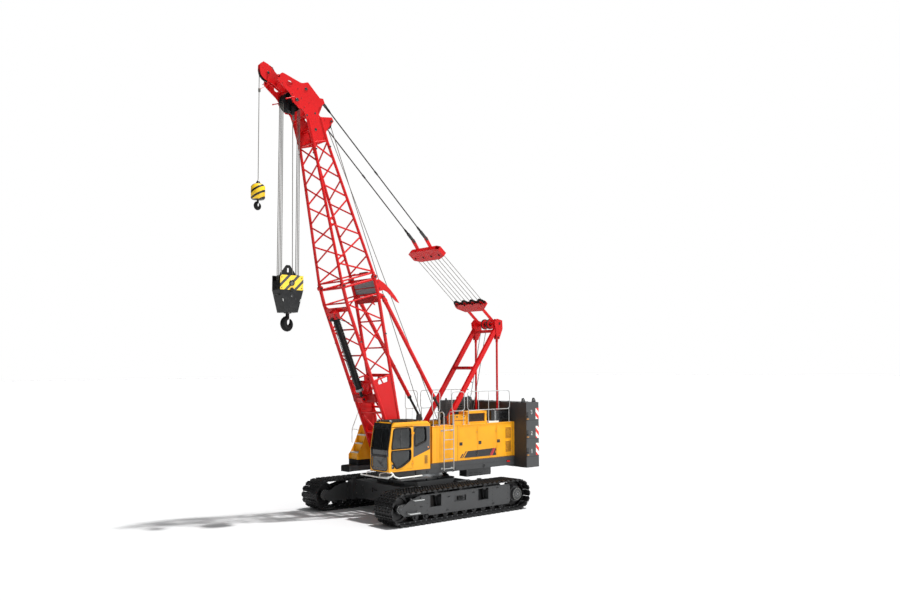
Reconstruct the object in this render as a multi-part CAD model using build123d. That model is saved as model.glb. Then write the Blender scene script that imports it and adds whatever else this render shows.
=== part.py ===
"""A crawler crane with a lattice boom, in millimetres, as separate sub-parts.

X points forwards (the boom's side), Y to the left and Z up. Everything is drawn about the slewing
axis, with the ground at Z = 0, and FRAME_SHIFT moves it when it is written, so that the origin of
the finished crane is under the middle of its overall length.
Points on the boom are (u, v, w): u runs from the foot pin towards the head, v out of the boom's
front face, and w is the crane's own Y.
"""
from build123d import *
import os
from math import atan2, cos, degrees, hypot, pi, radians, sin

# ---------------------------------------------------------------- clearances
SEAT = 0.3             # between faces that carry one another
PIN_GAP = 0.3          # round a pin in its bore
RUN_GAP = 6.0          # round a door, or between parts that pass one another

# ---------------------------------------------------------------- undercarriage
TRACK_SPAN = 5580      # over both tracks
TRACK_LENGTH = 6300
TRACK_HEIGHT = 1105
SHOE_WIDTH = 1000
SHOE_COUNT = 60
SHOE_THICK = 50
SHOE_NOTCH = 16        # half of the opening between two shoes
LINK_THICK = 60
LINK_WIDTH = 360
LOOP_RADIUS = TRACK_HEIGHT / 2 - SHOE_THICK
WHEEL_X = (TRACK_LENGTH - TRACK_HEIGHT) / 2
WHEEL_Z = TRACK_HEIGHT / 2
WHEEL_R = LOOP_RADIUS - LINK_THICK - SEAT
TRACK_Y = (TRACK_SPAN - SHOE_WIDTH) / 2
SPROCKET_TEETH = 15
ROLLER_R = 120
ROLLER_COUNT = 10
ROLLER_PITCH = 430
TOP_ROLLER_R = 78
SIDE_BOX_HALF = 240    # half width of the side frame's box
SKIRT_THICK = 30
SKIRT_Y = SIDE_BOX_HALF + SKIRT_THICK
CARBODY_TOP = 1150
BEAM_TOP = 1030          # of the cross beams, which pass under the tracks' upper runs
RING_BASE = 1250       # top of the carbody's ring seat
RING_TOP = 1350
RING_R = 950

# ---------------------------------------------------------------- revolving upper works
HALF_WIDTH = 715       # of the boom at its foot, to its chords' centre lines
EAR_IN, EAR_OUT = HALF_WIDTH - 55, HALF_WIDTH + 25
BACKSTOP_Y = HALF_WIDTH + 30
HOUSE_INNER = BACKSTOP_Y + 55    # inner face of the side houses, beside the winch well
DECK_BOTTOM = 1433
DECK_TOP = 1770
HOUSE_TOP = 3070
HOUSE_HALF = 1445
HOUSE_FRONT = 390
HOUSE_REAR = -3640
WALL = 30
WEB_IN, WEB_OUT = 500, 540
FOOT_X, FOOT_Z = 1150, 1800
FOOT_PIN_R = 60
WEIGHT_REAR = -4395
WEIGHT_HALF = 2105
WEIGHT_LEVELS = (1360, 1770, 2450, 3130, 3800)
ENGINE = (-3330, -2700, -1250, 1250, DECK_TOP + SEAT, 2720)

# winch drums: name, x, z, drum radius, flange radius
DRUMS = (("main_winch_drum", -1290, 2330, 250, 400),
         ("auxiliary_winch_drum", -430, 2330, 250, 400),
         ("boom_hoist_drum", -2200, 2250, 220, 350))
DRUM_SHAFT_R = 55

# service doors: name, side (+1 left), rear edge x, front edge x
DOORS = (("left_front_door", 1, -1730, -840),
         ("left_middle_door", 1, -2690, -1770),
         ("left_rear_door", 1, -3500, -2730),
         ("right_side_door", -1, -1730, -840))
DOOR_LOW, DOOR_HIGH = DECK_TOP + 70, HOUSE_TOP - 80
HINGE_OUT = 15         # a house door's hinge axis, outside its wall
HINGE_R = 13
HINGE_LONG = 70

# ---------------------------------------------------------------- operator's cab
CAB_REAR, CAB_FRONT = 860, 2600
CAB_IN = HALF_WIDTH + 135
CAB_OUT = CAB_IN + 1070
TANK_IN = CAB_IN + 10
CAB_FLOOR, CAB_TOP = 1685, 3310
CAB_WALL = 50
CAB_SPLIT_LOW, CAB_SPLIT_HIGH = CAB_FLOOR + 60, 3175
CAB_FRONT_SPLIT = 2350
CAB_DOOR_REAR, CAB_DOOR_FRONT = 1610, 2520
GLASS = 8

# ---------------------------------------------------------------- gantry, links and ropes' gear
GANTRY_FOOT = (-100, 1900)
GANTRY_HEAD = (-3600, 6860)
GANTRY_Y = 620
LEG_DEEP, LEG_WIDE = 170, 120
GANTRY_PIN_R = 50
LINK_X = -3520
LINK_TOP, LINK_BOTTOM = 6310, 1860
FALLS_ANGLE = 40.0     # of the luffing falls at rest
BLOCK_REACH = 1240     # gantry head to the sheaves of the gantry block
BAIL_REACH = 3930      # gantry head to the sheaves of the floating bail
BAIL_LENGTH, BAIL_ANGLE = 700, 53.0
FALLS_SHEAVES = (705, 235, -235, -705)
FALLS_SHEAVE_R = 125
STAY_Y = 385
STAY_R = 22

# ---------------------------------------------------------------- boom
BOOM_ANGLE = 73.4
JOINT_U = 6600
FOOT_HALF_DEPTH, HALF_DEPTH = 130, 670   # of the chords' centre lines
TAPER_U = 6000
PLATE_U = 3130
STRUT_PLACES = (PLATE_U + 957, PLATE_U + 1913)
TOP_U = 11500
TOP_HALF_DEPTH, TOP_HALF_WIDTH = 268, 450
CHORD_R, TOP_CHORD_R, BASE_LACING_R, LACING_R = 60, 50, 28, 30
LACING_STEP = 48       # from a panel point to where each lacing tube meets the chord
HEAD_IN, HEAD_OUT = 430, 462
MAIN_SHEAVE = (12960, 525)
TIP_SHEAVE = (14000, 1115)
DEFLECTOR = (12110, -620)
STAY_PIN = (12830, -475)
SHEAVE_R, DEFLECTOR_R, TIP_SHEAVE_R = 335, 215, 295
SHEAVE_PIN_R = 50
BACKSTOP_PIN = (5850, -820)
BACKSTOP_FOOT = (-720, 3330)
BACKSTOP_R, BACKSTOP_ROD_R = 70, 46
TUBE_LENGTH, ROD_LENGTH = 4300, 3150
SOCKET_Y = 207
HOOK_X, HOOK_Z = 5356, 7730          # sheave shaft of the main hook block
AUX_X, AUX_Z = 6480, 11180           # top of the auxiliary hook block
AUX_R = 222
WEIGHT_DROP = 560                   # tip sheave to the limit weight

UP = Vector(0, 0, 1)
BOOM = Plane(origin=(FOOT_X, 0, FOOT_Z), x_dir=(cos(radians(BOOM_ANGLE)), 0, sin(radians(BOOM_ANGLE))),
             z_dir=(0, 1, 0))
FRAME_SHIFT = Pos(-1130, 0, 0)


# ---------------------------------------------------------------- basic shapes
def block(x0, x1, y0, y1, z0, z1):
    return Pos((x0 + x1) / 2, (y0 + y1) / 2, (z0 + z1) / 2) * Box(x1 - x0, y1 - y0, z1 - z0)


def slab(outline, low, high):
    """An outline in X, Y made solid from Z = low to high."""
    face = make_face(Polyline(*outline, close=True)) if isinstance(outline, (list, tuple)) else outline
    return extrude(Pos(0, 0, low) * face, amount=high - low, dir=(0, 0, 1))


def side_plate(outline, y0, y1):
    """An outline in X, Z made solid from y0 to y1."""
    return Rot(90, 0, 0) * slab(outline, -y1, -y0)


def cross_plate(outline, x0, x1):
    """An outline in Y, Z made solid from x0 to x1."""
    return Plane.YZ * slab(outline, x0, x1)


def disc(x, z, radius, y0, y1):
    """A cylinder across the crane."""
    return Pos(x, (y0 + y1) / 2, z) * Rot(90, 0, 0) * Cylinder(radius, y1 - y0)


def drum(u, v, radius, w0, w1):
    """A cylinder across the boom, in the boom's own frame."""
    return Pos(u, v, (w0 + w1) / 2) * Cylinder(radius, w1 - w0)


def post(x, y, radius, z0, z1):
    return Pos(x, y, (z0 + z1) / 2) * Cylinder(radius, z1 - z0)


def bar(start, end, radius, seam=None):
    """A round bar; seam is a direction square to no joint, for the edge along its surface."""
    run = Vector(*end) - Vector(*start)
    bottom = (Align.CENTER, Align.CENTER, Align.MIN)
    if seam is None:
        return Plane(origin=start, z_dir=run) * Cylinder(radius, run.length, align=bottom)
    edge = Vector(*seam)
    edge = edge - run * (edge.dot(run) / run.dot(run))
    return Plane(origin=start, x_dir=edge, z_dir=run) * Cylinder(radius, run.length, align=bottom)


def fuse(*shapes):
    return Part() + list(shapes)


def both(make):
    """The same shape on the left (+1) and on the right (-1)."""
    return [make(1), make(-1)]


def band(side, a, b):
    """Y limits from distances a < b off the middle, on one side."""
    return (a, b) if side > 0 else (-b, -a)


def along(start, angle, length):
    return start[0] + length * cos(radians(angle)), start[1] + length * sin(radians(angle))


def boom_point(u, v):
    """X and Z of a point of the boom at rest."""
    place = BOOM.from_local_coords(Vector(u, v, 0))
    return place.X, place.Z


# ---------------------------------------------------------------- undercarriage
def loop_point(distance, out):
    """A point of the track's loop, which runs back along the ground and forward over the top."""
    straight, arc = 2 * WHEEL_X, pi * LOOP_RADIUS
    distance %= 2 * (straight + arc)
    if distance < straight:
        x, z, across, lift = WHEEL_X - distance, -LOOP_RADIUS, 0, -1
    elif distance < straight + arc:
        turn = (distance - straight) / LOOP_RADIUS
        across, lift = -sin(turn), -cos(turn)
        x, z = -WHEEL_X + LOOP_RADIUS * across, LOOP_RADIUS * lift
    elif distance < 2 * straight + arc:
        x, z, across, lift = distance - straight - arc - WHEEL_X, LOOP_RADIUS, 0, 1
    else:
        turn = (distance - 2 * straight - arc) / LOOP_RADIUS
        across, lift = sin(turn), cos(turn)
        x, z = WHEEL_X + LOOP_RADIUS * across, LOOP_RADIUS * lift
    return x + out * across, WHEEL_Z + z + out * lift


def track(side):
    """The closed loop of shoes with its link band inside."""
    pitch = 2 * (2 * WHEEL_X + pi * LOOP_RADIUS) / SHOE_COUNT
    outline = []
    for shoe in range(SHOE_COUNT):
        start = shoe * pitch
        outline += [loop_point(start, SHOE_THICK * 0.4),
                    loop_point(start + SHOE_NOTCH, SHOE_THICK),
                    loop_point(start + pitch - SHOE_NOTCH, SHOE_THICK)]
    centre = side * TRACK_Y
    inner = Pos(0, WHEEL_Z) * SlotCenterToCenter(2 * WHEEL_X, 2 * LOOP_RADIUS)
    clear = Pos(0, WHEEL_Z) * SlotCenterToCenter(2 * WHEEL_X, 2 * (LOOP_RADIUS - LINK_THICK))
    shoes = side_plate(outline, centre - SHOE_WIDTH / 2, centre + SHOE_WIDTH / 2)
    hollow = side_plate(inner, centre - SHOE_WIDTH / 2 - 1, centre + SHOE_WIDTH / 2 + 1)
    links = side_plate(inner - clear, centre - LINK_WIDTH / 2, centre + LINK_WIDTH / 2)
    return fuse(shoes - hollow, links)


def side_frame(side):
    """The box of one side frame, with its skirts, yokes and pockets."""
    centre = side * TRACK_Y
    skirt = [(-2320, 330), (-2240, 245), (1450, 245), (1450, 300), (2450, 300), (2620, 430), (2620, 560), (2180, 824),
             (1800, 925), (-2250, 925), (-2320, 860)]
    reach = 2050
    body = [block(-reach + 50, reach - 50, centre - SIDE_BOX_HALF, centre + SIDE_BOX_HALF, 390, 820)]
    for edge in (-1, 1):
        face = centre + edge * SIDE_BOX_HALF
        body.append(side_plate(skirt, min(face, face + edge * SKIRT_THICK), max(face, face + edge * SKIRT_THICK)))
        for end in (-1, 1):
            near, far = centre + edge * 160, centre + edge * SIDE_BOX_HALF
            arm = [(end * 1900, 400), (end * WHEEL_X, 400), (end * WHEEL_X, 700), (end * 1900, 700)]
            body.append(side_plate(arm, min(near, far), max(near, far)))
            body.append(disc(end * WHEEL_X, WHEEL_Z, 150 if end > 0 else 270, min(near, far), max(near, far)))
    outer = centre + side * SIDE_BOX_HALF
    cover = centre + side * 350
    body.append(disc(-WHEEL_X, WHEEL_Z, 225, min(outer, cover), max(outer, cover)))
    frame = fuse(*body)
    # name of the pocket: x from, x to, z from, z to, depth
    pockets = ((900, 1370, 500, 900, 200), (-1250, -780, 500, 900, 200), (-215, 330, 575, 770, 60))
    skin = centre + side * SKIRT_Y
    for x0, x1, z0, z1, deep in pockets:
        frame -= block(x0, x1, min(skin + side, skin - side * deep), max(skin + side, skin - side * deep), z0, z1)
    return frame


def sprocket(side):
    centre = side * TRACK_Y
    outline = []
    for tooth in range(SPROCKET_TEETH):
        for part, radius in ((0.0, 395), (0.28, WHEEL_R), (0.62, WHEEL_R), (0.9, 395)):
            turn = 2 * pi * (tooth + part) / SPROCKET_TEETH
            outline.append((-WHEEL_X + radius * cos(turn), WHEEL_Z + radius * sin(turn)))
    wheel = side_plate(outline, centre - 55, centre + 55)
    return fuse(wheel, disc(-WHEEL_X, WHEEL_Z, 300, centre - 160 + SEAT, centre + 160 - SEAT))


def idler(side):
    centre = side * TRACK_Y
    rim = disc(WHEEL_X, WHEEL_Z, WHEEL_R, centre - 100, centre + 100)
    for edge in (-1, 1):
        near, far = centre + edge * 30, centre + edge * 101
        rim -= disc(WHEEL_X, WHEEL_Z, WHEEL_R - 70, min(near, far), max(near, far))
    return fuse(rim, disc(WHEEL_X, WHEEL_Z, 110, centre - 160 + SEAT, centre + 160 - SEAT))


def rollers():
    """The bottom and top rollers of both sides, between the skirts."""
    reach = SIDE_BOX_HALF - SEAT
    row = []
    for side in (1, -1):
        centre = side * TRACK_Y
        low = LOOP_RADIUS - LINK_THICK
        for place in range(ROLLER_COUNT):
            x = (place - (ROLLER_COUNT - 1) / 2) * ROLLER_PITCH
            z = WHEEL_Z - low + ROLLER_R + SEAT
            row += [fuse(disc(x, z, ROLLER_R, centre - 190, centre + 190), disc(x, z, 50, centre - reach, centre + reach))]
        for x in (-1100, 0, 1100):
            z = WHEEL_Z + low - TOP_ROLLER_R - SEAT
            row += [disc(x, z, TOP_ROLLER_R, centre - reach, centre + reach)]
    return fuse(*row)


def carbody():
    """The centre box with the ring seat and the two cross beams that carry the side frames."""
    half, corner = 1150, 330
    box = [(half, half - corner), (half - corner, half), (corner - half, half), (-half, half - corner),
           (-half, corner - half), (corner - half, -half), (half - corner, -half), (half, corner - half)]
    reach = TRACK_Y - SKIRT_Y - SEAT
    solid = [slab(box, 430, CARBODY_TOP), post(0, 0, RING_R, CARBODY_TOP - 1, RING_BASE)]
    for end in (-1, 1):
        solid.append(block(min(end * 850, end * 1500), max(end * 850, end * 1500), -reach, reach, 400, BEAM_TOP))
        for side in (-1, 1):
            xs = min(end * 1480, end * 1640), max(end * 1480, end * 1640)
            solid.append(block(*xs, *band(side, reach - 330, reach), 340, BEAM_TOP))
            solid.append(block(*xs, *band(side, reach - 330, TRACK_Y - SHOE_WIDTH / 2 - 15), BEAM_TOP - 1, 1125))
    return fuse(*solid)


def slewing_ring():
    return post(0, 0, RING_R, RING_BASE + SEAT, RING_TOP) - post(0, 0, RING_R - 170, RING_BASE, RING_TOP + 1)


# ---------------------------------------------------------------- revolving frame
def pin_lug(x, z, half, radius, base, y0, y1):
    """A plate that stands on a base and ends in a round eye."""
    plate = [(x - half, base), (x + half, base), (x + radius * 0.9, z), (x - radius * 0.9, z)]
    return fuse(side_plate(plate, y0, y1), disc(x, z, radius, y0, y1))


def upper_frame():
    """The revolving frame: plates, beams, winch webs, pedestals and every fixed pin."""
    solid = [block(HOUSE_REAR, 900, -700, 700, DECK_BOTTOM, DECK_BOTTOM + 40),
             block(800, 1450, -EAR_OUT - 75, EAR_OUT + 75, DECK_BOTTOM, DECK_BOTTOM + 40),
             post(0, 0, RING_R - 60, RING_TOP + SEAT, DECK_BOTTOM + 1)]
    web = [(HOUSE_REAR, DECK_BOTTOM + 20), (850, DECK_BOTTOM + 20), (850, 1800), (200, 2000), (60, 2660),
           (-1650, 2660), (-2560, 2560), (-2640, DECK_TOP), (HOUSE_REAR, DECK_TOP)]
    for side in (1, -1):
        solid.append(side_plate(web, *band(side, WEB_IN, WEB_OUT)))
        solid.append(block(HOUSE_REAR, 2300, *band(side, HOUSE_HALF - 110, HOUSE_HALF), DECK_BOTTOM, DECK_TOP - 130))
        solid.append(block(HOUSE_REAR, HOUSE_FRONT + 60, *band(side, WEB_OUT - 20, HOUSE_HALF), DECK_TOP - 30, DECK_TOP))
        solid.append(block(HOUSE_REAR, HOUSE_FRONT + 60, *band(side, HOUSE_HALF - 60, HOUSE_HALF), DECK_TOP - 140, DECK_TOP))
        solid.append(block(HOUSE_FRONT + 40, 2300, *band(side, CAB_IN, HOUSE_HALF), DECK_TOP - 170, DECK_TOP - 130))
        solid.append(block(700, 2300, *band(side, CAB_IN, CAB_IN + 80), DECK_BOTTOM + 30, DECK_TOP - 131))
        solid.append(block(-2500, -1300, *band(side, 930, HOUSE_HALF - 105), 1160, DECK_BOTTOM + 10))
        for inner, outer in ((EAR_IN - 75, EAR_IN - RUN_GAP), (EAR_OUT + RUN_GAP, EAR_OUT + 75)):
            solid.append(pin_lug(FOOT_X, FOOT_Z, 230, 170, DECK_BOTTOM + 10, *band(side, inner, outer)))
        solid.append(disc(FOOT_X, FOOT_Z, FOOT_PIN_R, *band(side, EAR_IN - 60, EAR_OUT + 60)))
        for x, z in (GANTRY_FOOT, (LINK_X, LINK_BOTTOM)):
            for inner, outer in ((GANTRY_Y - 60, GANTRY_Y - 32), (GANTRY_Y + 32, GANTRY_Y + 60)):
                solid.append(pin_lug(x, z, 80, 75, DECK_TOP - 25, *band(side, inner, outer)))
            solid.append(disc(x, z, 35, *band(side, GANTRY_Y - 45, GANTRY_Y + 45)))
        # the post that the backstop's rod bears on
        x, z = BACKSTOP_FOOT
        solid.append(block(x - 60, x + 60, *band(side, BACKSTOP_Y - 40, BACKSTOP_Y + 40), DECK_TOP - 25, z - 190))
        for inner, outer in ((BACKSTOP_Y - 45, BACKSTOP_Y - 30), (BACKSTOP_Y + 30, BACKSTOP_Y + 45)):
            solid.append(side_plate([(x - 110, z - 260), (x + 110, z - 260), (x + 110, z - 60), (x + 50, z + 60),
                                     (x - 50, z + 60), (x - 110, z - 60)], *band(side, inner, outer)))
    for x in (-3600, -2600, -1100, 300, 780):
        solid.append(block(x - 30, x + 30, -HOUSE_HALF + 10, HOUSE_HALF - 10, DECK_BOTTOM + 20, DECK_TOP - 141))
    solid.append(block(2240, 2300, -HOUSE_HALF + 10, -TANK_IN, DECK_BOTTOM + 20, DECK_TOP - 141))
    solid.append(block(2240, 2300, TANK_IN, HOUSE_HALF - 10, DECK_BOTTOM + 20, DECK_TOP - 141))
    for name, x, z, radius, flange in DRUMS:
        solid.append(disc(x, z, DRUM_SHAFT_R, -WEB_OUT - 15, WEB_OUT + 15))
    return fuse(*solid)


def winch_drum(x, z, radius, flange):
    """A rope drum with two flanges, turning on its shaft between the webs."""
    half = WEB_IN - SEAT
    body = fuse(disc(x, z, radius, -half + 60, half - 60), disc(x, z, flange, -half + 40, -half + 65),
                disc(x, z, flange, half - 65, half - 40), disc(x, z, DRUM_SHAFT_R + 40, -half, half))
    return body - disc(x, z, DRUM_SHAFT_R + PIN_GAP, -half - 1, half + 1)


def house(side):
    """One side house: a sheet-metal box, open below, with its door openings."""
    outer, inner = HOUSE_HALF, HOUSE_INNER
    shell = block(HOUSE_REAR, HOUSE_FRONT, *band(side, inner, outer), DECK_TOP + SEAT, HOUSE_TOP)
    shell -= block(HOUSE_REAR + WALL, HOUSE_FRONT - WALL, *band(side, inner + WALL, outer - WALL),
                   DECK_TOP - 1, HOUSE_TOP - WALL)
    # the engine stands across both houses, so their inner walls stop in front of it
    shell -= block(HOUSE_REAR - 1, ENGINE[1] + 60, *band(side, inner - 1, inner + WALL + 1), DECK_TOP - 1, HOUSE_TOP - WALL)
    pieces = [shell]
    for name, where, rear, front in DOORS:
        if where != side:
            continue
        pieces[0] -= block(rear - RUN_GAP, front + RUN_GAP, *band(side, outer - WALL - 1, outer + 1),
                           DOOR_LOW - RUN_GAP, DOOR_HIGH + RUN_GAP)
        for z in hinge_heights():
            pieces.append(post(rear, side * (outer + HINGE_OUT), HINGE_R, z + SEAT, z + HINGE_LONG))
            pieces.append(block(rear - 24, rear, *band(side, outer - 1, outer + HINGE_OUT), z + SEAT, z + HINGE_LONG))
    return fuse(*pieces)


def hinge_heights():
    return (DOOR_LOW + 180, DOOR_HIGH - 180)


def house_door(side, rear, front):
    """A hinged leaf with a folded edge and its half of each hinge."""
    outer = HOUSE_HALF
    leaf = block(rear, front, *band(side, outer - WALL, outer), DOOR_LOW, DOOR_HIGH)
    leaf -= block(rear + 25, front - 25, *band(side, outer - WALL - 1, outer - 4), DOOR_LOW + 25, DOOR_HIGH - 25)
    pieces = [leaf]
    for z in hinge_heights():
        pieces.append(post(rear, side * (outer + HINGE_OUT), HINGE_R, z - HINGE_LONG, z))
        pieces.append(block(rear, rear + 55, *band(side, outer - 1, outer + HINGE_OUT), z - HINGE_LONG, z))
    return fuse(*pieces)


def rear_cover():
    """The roof and back wall between the side houses, with slots for the back links."""
    half = HOUSE_INNER - SEAT
    roof = block(HOUSE_REAR, -2640, -half, half, HOUSE_TOP - WALL, HOUSE_TOP)
    back = block(HOUSE_REAR, HOUSE_REAR + WALL, -half, half, DECK_TOP + SEAT, HOUSE_TOP - WALL + 1)
    front = block(-2640 - WALL, -2640, -half, half, DECK_TOP + 900, HOUSE_TOP - WALL + 1)
    cover = fuse(roof, back, front)
    for side in (1, -1):
        cover -= block(LINK_X - 75, LINK_X + 75, *band(side, GANTRY_Y - 75, GANTRY_Y + 75), HOUSE_TOP - WALL - 1, HOUSE_TOP + 1)
    return cover


def engine():
    return block(*ENGINE)


# ---------------------------------------------------------------- counterweight
def weight_outline(front):
    half, cut = WEIGHT_HALF, 90
    return [(front, -half), (front, half), (WEIGHT_REAR + cut, half), (WEIGHT_REAR, half - cut),
            (WEIGHT_REAR, cut - half), (WEIGHT_REAR + cut, -half)]


def weight_slab(level):
    low, high = WEIGHT_LEVELS[level], WEIGHT_LEVELS[level + 1]
    return slab(weight_outline(HOUSE_REAR - SEAT), low + SEAT, high)


# ---------------------------------------------------------------- steps, rails and roof gear
def fuel_tank_steps():
    """The tank in front of the right house, whose front is a flight of steps."""
    outline = [(2250, DECK_TOP - 130 + SEAT), (2250, 1980), (2050, 1980), (2050, 2290), (1850, 2290), (1850, 2600),
               (1650, 2600), (1650, 2890), (1450, 2890), (1450, HOUSE_TOP), (HOUSE_FRONT + 61, HOUSE_TOP),
               (HOUSE_FRONT + 61, DECK_TOP - 130 + SEAT)]
    return side_plate(outline, -HOUSE_HALF, -TANK_IN)


def rail_loop(x0, x1, y, z0, z1, feet):
    """A closed handrail loop on posts."""
    tube = 19
    corners = [(x0, y, z0), (x1, y, z0), (x1, y, z1), (x0, y, z1)]
    pieces = [bar(corners[i], corners[(i + 1) % 4], tube) for i in range(4)]
    pieces += [Pos(*corner) * Sphere(tube) for corner in corners]
    pieces += [bar((x, y, HOUSE_TOP + SEAT), (x, y, z1), tube) for x in feet]
    return pieces


def roof_rails():
    low, high = 3570, 4260
    pieces = []
    for side in (1, -1):
        y = side * (HOUSE_HALF - 45)
        pieces += rail_loop(-3440, -1310, y, low, high, (-3400, -2350, -1350))
        pieces += rail_loop(-1150, -560, y, low, high, (-1110, -600))
        pieces += rail_loop(10, 350, y, low, high, (50, 310))
    return fuse(*pieces)


def ladder():
    """The ladder on the left side, its stiles bent over the roof edge."""
    y, tube = HOUSE_HALF + 130, 18
    pieces = []
    for x in (-490, -40):
        pieces += [bar((x, y, 1500), (x, y, 3900), tube), Pos(x, y, 3900) * Sphere(tube),
                   bar((x, y, 3900), (x, y - 250, 3900), tube), Pos(x, y - 250, 3900) * Sphere(tube),
                   bar((x, y - 250, 3900), (x, y - 250, HOUSE_TOP + SEAT), tube),
                   bar((x, y, 2900), (x, HOUSE_HALF + SEAT, 2900), tube),
                   bar((x, y, 1560), (x, HOUSE_HALF + SEAT, 1560), tube)]
    pieces += [bar((-490, y, z), (-40, y, z), 15) for z in (1560, 1900, 2240, 2580, 2920)]
    return fuse(*pieces)


def left_catwalk():
    """The footboard round the cab's left side, hung from the deck."""
    y0 = CAB_OUT + 20
    board = block(1000, 2300, y0, y0 + 230, 1400, 1430)
    hangers = [block(x, x + 50, HOUSE_HALF - 20, y0 + 40, 1385, 1400 + SEAT) for x in (1100, 2150)]
    stops = [block(x, x + 50, HOUSE_HALF + SEAT, HOUSE_HALF + 40, 1385, 1600) for x in (1100, 2150)]
    return fuse(board, *hangers, *stops)


def cooler_box():
    """The raised box with the grille, and the low louvred box in front of it."""
    tall = block(-2290, -1300, 900, HOUSE_HALF - 90, HOUSE_TOP + SEAT, 3530)
    low = block(-1301, -730, 950, HOUSE_HALF - 110, HOUSE_TOP + SEAT, 3410)
    grille = block(-2190, -1400, HOUSE_HALF - 120, HOUSE_HALF - 80, 3150, 3450)
    return fuse(tall, low) - grille


def silencer():
    """The dark round-ended housing at the back of the left roof, on its pale base ring."""
    outline = Pos(-3090, 1100) * SlotOverall(1000, 480)
    base = Pos(-3090, 1100) * SlotOverall(1040, 520)
    return fuse(slab(base, HOUSE_TOP + SEAT, HOUSE_TOP + 70), slab(outline, HOUSE_TOP + 69, 3520))


def right_roof_module():
    return fuse(block(-3550, -2150, -1370, -880, HOUSE_TOP + SEAT, 3850),
                block(-3400, -3050, -1300, -980, 3849, 3960))


# ---------------------------------------------------------------- operator's cab
def cab_profile(inset=0.0):
    """The cab's side outline, drawn inwards by inset."""
    lean = 0.62 * inset
    return [(CAB_REAR + inset, CAB_FLOOR + inset), (CAB_FRONT - inset, CAB_FLOOR + inset),
            (CAB_FRONT + 20 - inset, 2400 + lean * 0.2), (CAB_FRONT - 110 - inset, 3170 - lean * 0.4),
            (CAB_FRONT - 230 - lean * 0.6, CAB_TOP - inset), (CAB_REAR + 120 + lean * 0.6, CAB_TOP - inset),
            (CAB_REAR + inset, CAB_TOP - 110 - lean)]


def cab_windows():
    """Openings as (panel, prism): every prism cuts its panel and, shrunk, makes its pane."""
    low, high = 2430, 3120
    door_low = [(1700, 2390), (1700, 2060), (2080, 1830), (2330, 1790), (2420, 1990), (2500, 2070), (2500, 2390)]
    quarter = [(1030, 2640), (1530, 2470), (1530, high), (1060, high)]
    return {
        "door_high": ([(1700, low), (2500, low), (2410, high), (1700, high)], "left"),
        "door_low": (door_low, "left"),
        "quarter": (quarter, "left"),
        "right": ([(1060, 2400), (2380, 2400), (2330, high), (1060, high)], "right"),
    }


def cab_cutter(outline, panel):
    ys = (CAB_OUT - CAB_WALL - 5, CAB_OUT + 5) if panel == "left" else (CAB_IN - 5, CAB_IN + CAB_WALL + 5)
    return side_plate(outline, *ys)


def cab_shell():
    outside = side_plate(cab_profile(), CAB_IN, CAB_OUT)
    return outside - side_plate(cab_profile(CAB_WALL), CAB_IN + CAB_WALL, CAB_OUT - CAB_WALL)


def cab_panels():
    """The shell split where the real panels meet, with the door and windows cut."""
    shell = cab_shell()
    far = 200
    y_in, y_out = CAB_IN + CAB_WALL, CAB_OUT - CAB_WALL
    low, high = CAB_SPLIT_LOW, CAB_SPLIT_HIGH
    x_low, x_high = CAB_REAR - far, CAB_FRONT + far
    mid = (low, high - SEAT)
    region = {
        "cab_floor": block(x_low, x_high, CAB_IN - far, CAB_OUT + far, CAB_FLOOR - far, low - SEAT),
        "cab_roof": block(x_low, x_high, CAB_IN - far, CAB_OUT + far, high, CAB_TOP + far),
        "cab_right_wall": block(x_low, x_high, CAB_IN - far, y_in - SEAT, *mid),
        "cab_left_wall": block(x_low, x_high, y_out + SEAT, CAB_OUT + far, *mid),
        "cab_rear_wall": block(x_low, CAB_REAR + 400, y_in, y_out, *mid),
        "cab_front_frame": block(CAB_FRONT_SPLIT, x_high, y_in, y_out, *mid),
    }
    panels = {name: shell & box for name, box in region.items()}
    panels["cab_left_wall"] -= block(CAB_DOOR_REAR - RUN_GAP, CAB_DOOR_FRONT + RUN_GAP, y_out - 5, CAB_OUT + 5,
                                     low - 5, high + 5 - RUN_GAP)
    panels["cab_left_wall"] -= cab_cutter(cab_windows()["quarter"][0], "left")
    panels["cab_right_wall"] -= cab_cutter(cab_windows()["right"][0], "right")
    panels["cab_front_frame"] -= block(2200, x_high, y_in + 30, y_out - 30, 2230, 3110)
    panels["cab_front_frame"] -= block(2200, x_high, y_in + 60, y_out - 60, 1800, 2150)
    panels["cab_rear_wall"] -= block(x_low, CAB_REAR + far, y_in + 120, y_out - 120, 2300, 3050)
    # four rubber mounts between the floor and the platform
    mounts = [post(x, y, 60, DECK_TOP - 130 + SEAT, CAB_FLOOR + 1) for x in (960, 2200) for y in (CAB_IN + 100, 1380)]
    panels["cab_floor"] = fuse(panels["cab_floor"], *mounts)
    for z in cab_hinge_heights():
        knuckle = cab_knuckle(z, z + HINGE_LONG)
        strap = block(CAB_DOOR_REAR - 50, CAB_DOOR_REAR, CAB_OUT - 1, CAB_OUT + HINGE_OUT, z + SEAT, z + HINGE_LONG)
        panels["cab_left_wall"] = fuse(panels["cab_left_wall"], knuckle, strap)
    return panels


def cab_knuckle(low, high):
    return post(CAB_DOOR_REAR, CAB_OUT + HINGE_OUT, HINGE_R, low + SEAT, high)


def cab_hinge_heights():
    return (1950, 2900)


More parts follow.
